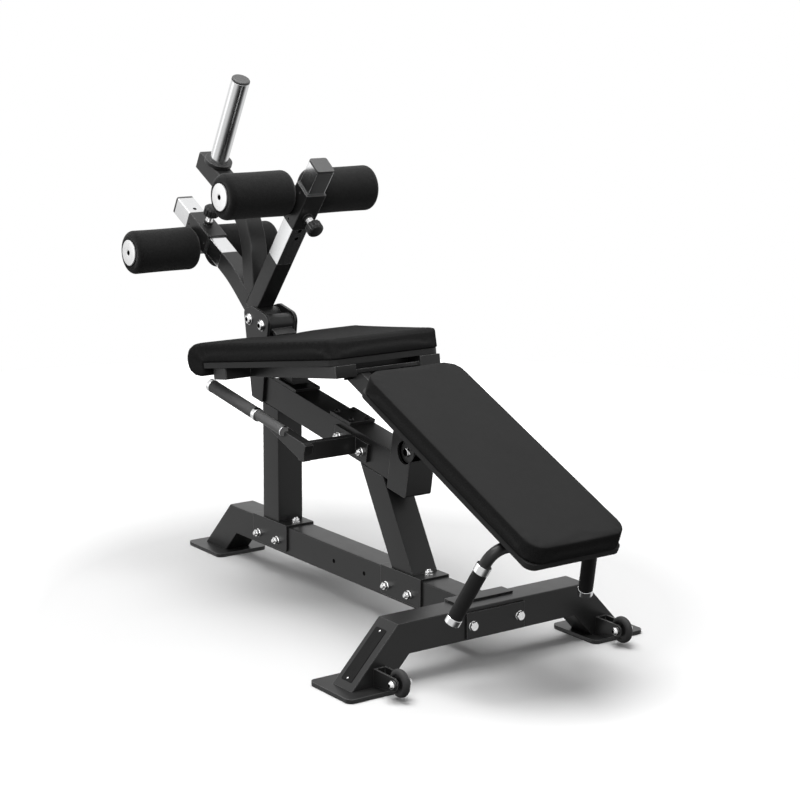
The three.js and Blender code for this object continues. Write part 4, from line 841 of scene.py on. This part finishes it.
# ---------------------------------------------------------------- collars, horn and wheels
HANDLE_SPLAY = math.radians(14.4)
HANDLE_COLLAR = (0.0183, 0.0142)  # outer and inner radius
SIDE_HANDLE_FALL = 9.65  # degrees
SIDE_COLLAR = (0.0172, 0.0127)
SIDE_TUBE = 0.0125
HORN_LEAN = 28.5  # degrees from upright
HORN_R = 0.0250
HORN_BORE = 0.0225
FLANGE_R = 0.0378
FLANGE_TOP = 0.0122


def collar(shape, spot, axis, length, radii):
    """A thin metal sleeve from a point along an axis."""
    radius, inner = radii
    shape.turned(spot, axis, [
        (0.0, inner), (0.0, radius - 0.0006), (0.0006, radius), (length - 0.0006, radius),
        (length, radius - 0.0006), (length, inner),
    ], 0, 48)


def handle_collars():
    """The bright collars at both ends of the U handle's grips."""
    collars = Shape()
    for side, sign in SIDES:
        fall = Vector((0, sign * math.sin(HANDLE_SPLAY), -math.cos(HANDLE_SPLAY)))
        fall = PAD_AXES.to_3x3() @ fall
        low_end = far_end(f"handle_grip_{side}", fall)
        high_end = far_end(f"handle_grip_{side}", -fall)
        collar(collars, high_end + fall * 0.008, -fall, 0.020, HANDLE_COLLAR)
        collar(collars, low_end - fall * 0.006, fall, 0.0165, HANDLE_COLLAR)
    collars.place("handle_collars", [CHROME], "backrest", "chrome_plate")


def side_handle_collars():
    """The side handle's collars, and the grey sleeve and disc on its free end."""
    back = far_end("side_handle_grip", heading(180 - SIDE_HANDLE_FALL))
    front = far_end("side_handle_grip", heading(-SIDE_HANDLE_FALL))
    down = (front - back).normalized()
    tip, _ = land("side_handle", front + down * 0.4, -down)
    tip += down * 0.006
    sleeve_end = (tip - front).length - 0.002
    collars = Shape()
    collar(collars, back + down * 0.004, -down, 0.015, SIDE_COLLAR)
    collar(collars, front - down * 0.004, down, 0.014, SIDE_COLLAR)
    collars.turned(front, down, [
        (0.006, SIDE_TUBE), (0.006, 0.0130), (sleeve_end, 0.0130), (sleeve_end, SIDE_TUBE),
    ], 1, 48)
    collars.turned(tip, down, [
        (-0.0025, SIDE_TUBE), (-0.0025, 0.0134), (-0.0020, 0.0138),
        (0.0002, 0.0138), (0.0007, 0.0134), (0.0007, 0.0118),
    ], 0, 48)
    collars.turned(tip, down, [(0.0003, 0.0120), (0.0003, 0.0)], 2, 48)
    collars.place("side_handle_collars", [CHROME, SLEEVE, END_DISC], "frame", "chrome_plate")


def weight_horn():
    """The horn's plated tube in its painted flange."""
    up = heading(90 - HORN_LEAN)
    foot = far_end("weight_horn", -up)
    length = (far_end("weight_horn", up) - foot).length
    horn = Shape()
    horn.turned(foot, up, [
        (0.0002, 0.0200), (0.0002, FLANGE_R - 0.0008), (0.0012, FLANGE_R),
        (FLANGE_TOP - 0.0010, FLANGE_R), (FLANGE_TOP, FLANGE_R - 0.0008), (FLANGE_TOP, 0.0255),
    ], 0, 64)
    horn.turned(foot, up, [
        (0.0100, HORN_R), (length - 0.0006, HORN_R), (length, HORN_R - 0.0006), (length, HORN_BORE),
        (0.0100, HORN_BORE), (0.0100, HORN_R),
    ], 1, 128)
    horn.place("horn_tube_and_flange", [PAINT, CHROME], "lever", "chrome_plate", ("weight_horn",))


def transport_wheel(side):
    """A rounded tyre with fine tread, and a recessed hub on both faces."""
    centre = wheel_centre(side)
    low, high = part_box(f"wheel_{side}")
    half, outer = (high.y - low.y) / 2, (high.z - low.z) / 2
    wall = [  # how far in from the face, and from the tread
        (0.0030, 0.0125), (0.0008, 0.0115), (0.0, 0.0095), (0.0004, 0.0060),
        (0.0018, 0.0030), (0.0042, 0.0010),
    ]
    wheel = Shape()
    wheel.turned(centre, Y, [
        *((-half + depth, outer - drop) for depth, drop in wall),
        (-half + 0.0068, outer, ridged), (half - 0.0068, outer, ridged),
        *((half - depth, outer - drop) for depth, drop in reversed(wall)),
    ], 0, 160)
    for face in (-1, 1):
        wheel.turned(centre + Y * face * half, Y * -face, [
            (0.0045, 0.0), (0.0045, 0.0095), (0.0030, 0.0105), (0.0030, outer - 0.0123),
        ], 1, 48)
    wheel.place(f"wheel_{side}_tyre_and_hub", [TYRE, KNOB], f"wheel_{side}", "black_rubber",
                (f"wheel_{side}",))


handle_collars()
side_handle_collars()
weight_horn()
for side, _ in SIDES:
    transport_wheel(side)


# ---------------------------------------------------------------- closed ends of the seat's tubes
# Places are in metres in the seat's own axes.
TUBE_FACE = (0.060, 0.030)
TUBE_Z = -0.0783
CROSS_TUBE_END = (-0.206, 0.228)
LONG_TUBE_END = (0.214, 0.1265)
CROSS_PLATE_AT = (0.160, 0.0, -0.0838)
CROSS_PLATE = (0.194, 0.040)


def seat_frame_ends():
    """Welded plates over the open tube ends, and the plate between the long tubes."""
    turn = SEAT_AXES.to_3x3()
    along, up = turn @ X, turn @ Z
    ends = Shape()

    def closed_end(x, y, across, out):
        spot = SEAT_AXES @ Vector((x, y, TUBE_Z)) + out * 0.0001
        ends.slab(spot, across, up, out, TUBE_FACE, thickness=0.0022, corner=0.002)

    for sign in (-1, 1):
        closed_end(CROSS_TUBE_END[0], CROSS_TUBE_END[1] * sign, along, Y * sign)
        closed_end(LONG_TUBE_END[0], LONG_TUBE_END[1] * sign, Y, along)
    ends.slab(SEAT_AXES @ Vector(CROSS_PLATE_AT), Y, up, along, CROSS_PLATE,
              thickness=0.003, corner=0.001)
    ends.place("seat_frame_ends", [PAINT], "frame", "black_paint")


seat_frame_ends()


# ---------------------------------------------------------------- bare plate on the left leg
LEG_MIDDLE = (612, -342, 76.5)
INTO_LEG = Vector((0, 0.735, -0.678))
LEG_PLATE = (0.142, 0.040)
RIVET_OFFSET = 0.064


def leg_plate():
    """A thin plain plate with two rivets on the leg's sloping face."""
    spot, normal = land("front_crossbar", at(*LEG_MIDDLE) - INTO_LEG * 0.08, INTO_LEG)
    slope = normal.cross(X).normalized()
    plate = Shape()
    plate.slab(spot, slope, X, normal, LEG_PLATE, thickness=0.0012, corner=0.004)
    for offset in (-RIVET_OFFSET, RIVET_OFFSET):
        plate.turned(spot + slope * offset + normal * 0.001, normal, [
            (0.0, 0.0024), (0.0006, 0.0022), (0.0011, 0.0014), (0.0013, 0.0),
        ], 1, 16)
    plate.place("bare_leg_plate", [PLATE, ZINC], "frame", "plastic_cap")


leg_plate()


# ---------------------------------------------------------------- stage
FLOOR_RADIUS = 3.4
FLOOR_TONE = 0.85
FLOOR_LIGHT_TONE = 0.05  # what the floor throws back at the bench
GLOW = (0.8, 2.2)  # where the floor starts to glow for the camera, and where it is white
SKY_LIGHT = 0.24
BELOW = (-0.74, -0.56)  # the height at which reflections turn from dark to grey
LEVEL = (-0.15, 0.1)  # and from grey to white
DARK_CARD = Vector((math.cos(math.radians(20)), math.sin(math.radians(20)), -0.1)).normalized()


def add_object(name, data):
    made = bpy.data.objects.new(name, data)
    bpy.context.scene.collection.objects.link(made)
    return made


def shader_mix(nodes, share, first, second):
    """The first shader where the share is 0, and the second where it is 1."""
    choose = nodes.add("ShaderNodeMixShader")
    for socket, value in zip(choose.inputs, (share, first, second)):
        nodes.put(socket, value)
    return choose.outputs[0]


def floor_material():
    """Pale, and white away from the bench to the camera; it lights the bench only dimly."""
    nodes = Nodes(bpy.data.materials.new("studio_floor"))
    pale = nodes.add("ShaderNodeBsdfDiffuse", Color=grey(FLOOR_TONE)).outputs[0]
    distance = nodes.add("ShaderNodeVectorMath", {"operation": "LENGTH"})
    nodes.put(distance.inputs[0], nodes.place)
    strength = nodes.spread(distance.outputs["Value"], 0.0, 1.0, *GLOW)
    glow = nodes.add("ShaderNodeEmission", Color=grey(1.0), Strength=strength).outputs[0]
    seen = nodes.add("ShaderNodeAddShader")
    nodes.put(seen.inputs[0], pale)
    nodes.put(seen.inputs[1], glow)
    dim = nodes.add("ShaderNodeBsdfDiffuse", Color=grey(FLOOR_LIGHT_TONE)).outputs[0]
    camera_ray = nodes.add("ShaderNodeLightPath").outputs["Is Camera Ray"]
    return nodes.finish(shader_mix(nodes, camera_ray, dim, seen.outputs[0]))


def make_floor():
    """A round floor that shows its shadow but not itself in reflections."""
    data = bpy.data.meshes.new("floor")
    disc = bmesh.new()
    bmesh.ops.create_circle(disc, cap_ends=True, segments=96, radius=FLOOR_RADIUS)
    disc.to_mesh(data)
    disc.free()
    data.materials.append(floor_material())
    floor = add_object("floor", data)
    floor.visible_glossy = False


def make_world():
    """White to the camera, and dim as a light.

    Reflections see it white above, grey below and dark at the bottom, with a slightly dimmer card
    on the right beside the camera.
    """
    world = bpy.data.worlds.new("studio")
    bpy.context.scene.world = world
    nodes = Nodes(world, "Generated")
    rays = nodes.add("ShaderNodeLightPath").outputs
    height = nodes.add("ShaderNodeSeparateXYZ", Vector=nodes.place).outputs["Z"]
    bottom = nodes.spread(height, 0.05, 1.0, *BELOW)
    horizon = nodes.spread(height, 0.76, 1.0, *LEVEL)
    card = nodes.spread(nodes.dot(nodes.place, DARK_CARD), 1.0, 0.92, 0.45, 0.90)
    level = nodes.math("MULTIPLY", nodes.math("MULTIPLY", bottom, horizon), card)
    light, studio, white = (
        nodes.add("ShaderNodeBackground", Color=grey(1.0), Strength=strength).outputs[0]
        for strength in (SKY_LIGHT, level, 1.0)
    )
    mirrored = nodes.math("MAXIMUM", rays["Is Glossy Ray"], rays["Is Transmission Ray"])
    lit = shader_mix(nodes, mirrored, light, studio)
    shader = shader_mix(nodes, rays["Is Camera Ray"], lit, white)
    nodes.finish(shader, "ShaderNodeOutputWorld")


def softbox(name, place, target, width, height, level):
    """A rectangular lamp whose face has the given brightness."""
    lamp = bpy.data.lights.new(name, "AREA")
    lamp.shape = "RECTANGLE"
    lamp.size = width
    lamp.size_y = height
    lamp.energy = level * math.pi * width * height
    made = add_object(name, lamp)
    made.location = place
    made.rotation_euler = (Vector(target) - Vector(place)).to_track_quat("-Z", "Y").to_euler()
    made.visible_camera = False


make_floor()
make_world()
softbox("top_light", (-0.1, -0.25, 4.5), (0.0, 0.0, 0.0), width=3.4, height=3.4, level=5.5)
softbox("side_light", (-2.6, -3.4, 1.1), (0.0, 0.0, 0.6), width=3.4, height=2.1, level=0.6)
softbox("front_light", (2.7, -2.05, 2.9), (0.0, 0.0, 0.3), width=2.0, height=2.0, level=2.9)


# ---------------------------------------------------------------- camera
CAMERA_AT = (4160.6, -2815.9, 1562.0)  # millimetres from the bench's own origin
YAW, PITCH, ROLL = (math.radians(angle) for angle in (144.09, -11.77, -0.289))
SENSOR = 36
LENS = 90.94


def make_camera():
    """The camera at the bench's three-quarter view, a little rolled."""
    data = bpy.data.cameras.new("camera")
    data.sensor_width = SENSOR
    data.lens = LENS
    data.clip_end = 100
    camera = add_object("camera", data)
    flat = math.cos(PITCH)
    ahead = Vector((math.cos(YAW) * flat, math.sin(YAW) * flat, math.sin(PITCH)))
    right = ahead.cross(Z).normalized()
    above = right.cross(ahead)
    right, above = (
        right * math.cos(ROLL) - above * math.sin(ROLL),
        above * math.cos(ROLL) + right * math.sin(ROLL),
    )
    turn = Matrix((right, above, -ahead)).transposed().to_4x4()
    camera.matrix_world = Matrix.Translation(at(*CAMERA_AT)) @ turn
    bpy.context.scene.camera = camera


make_camera()
bpy.context.scene.view_settings.view_transform = "Standard"
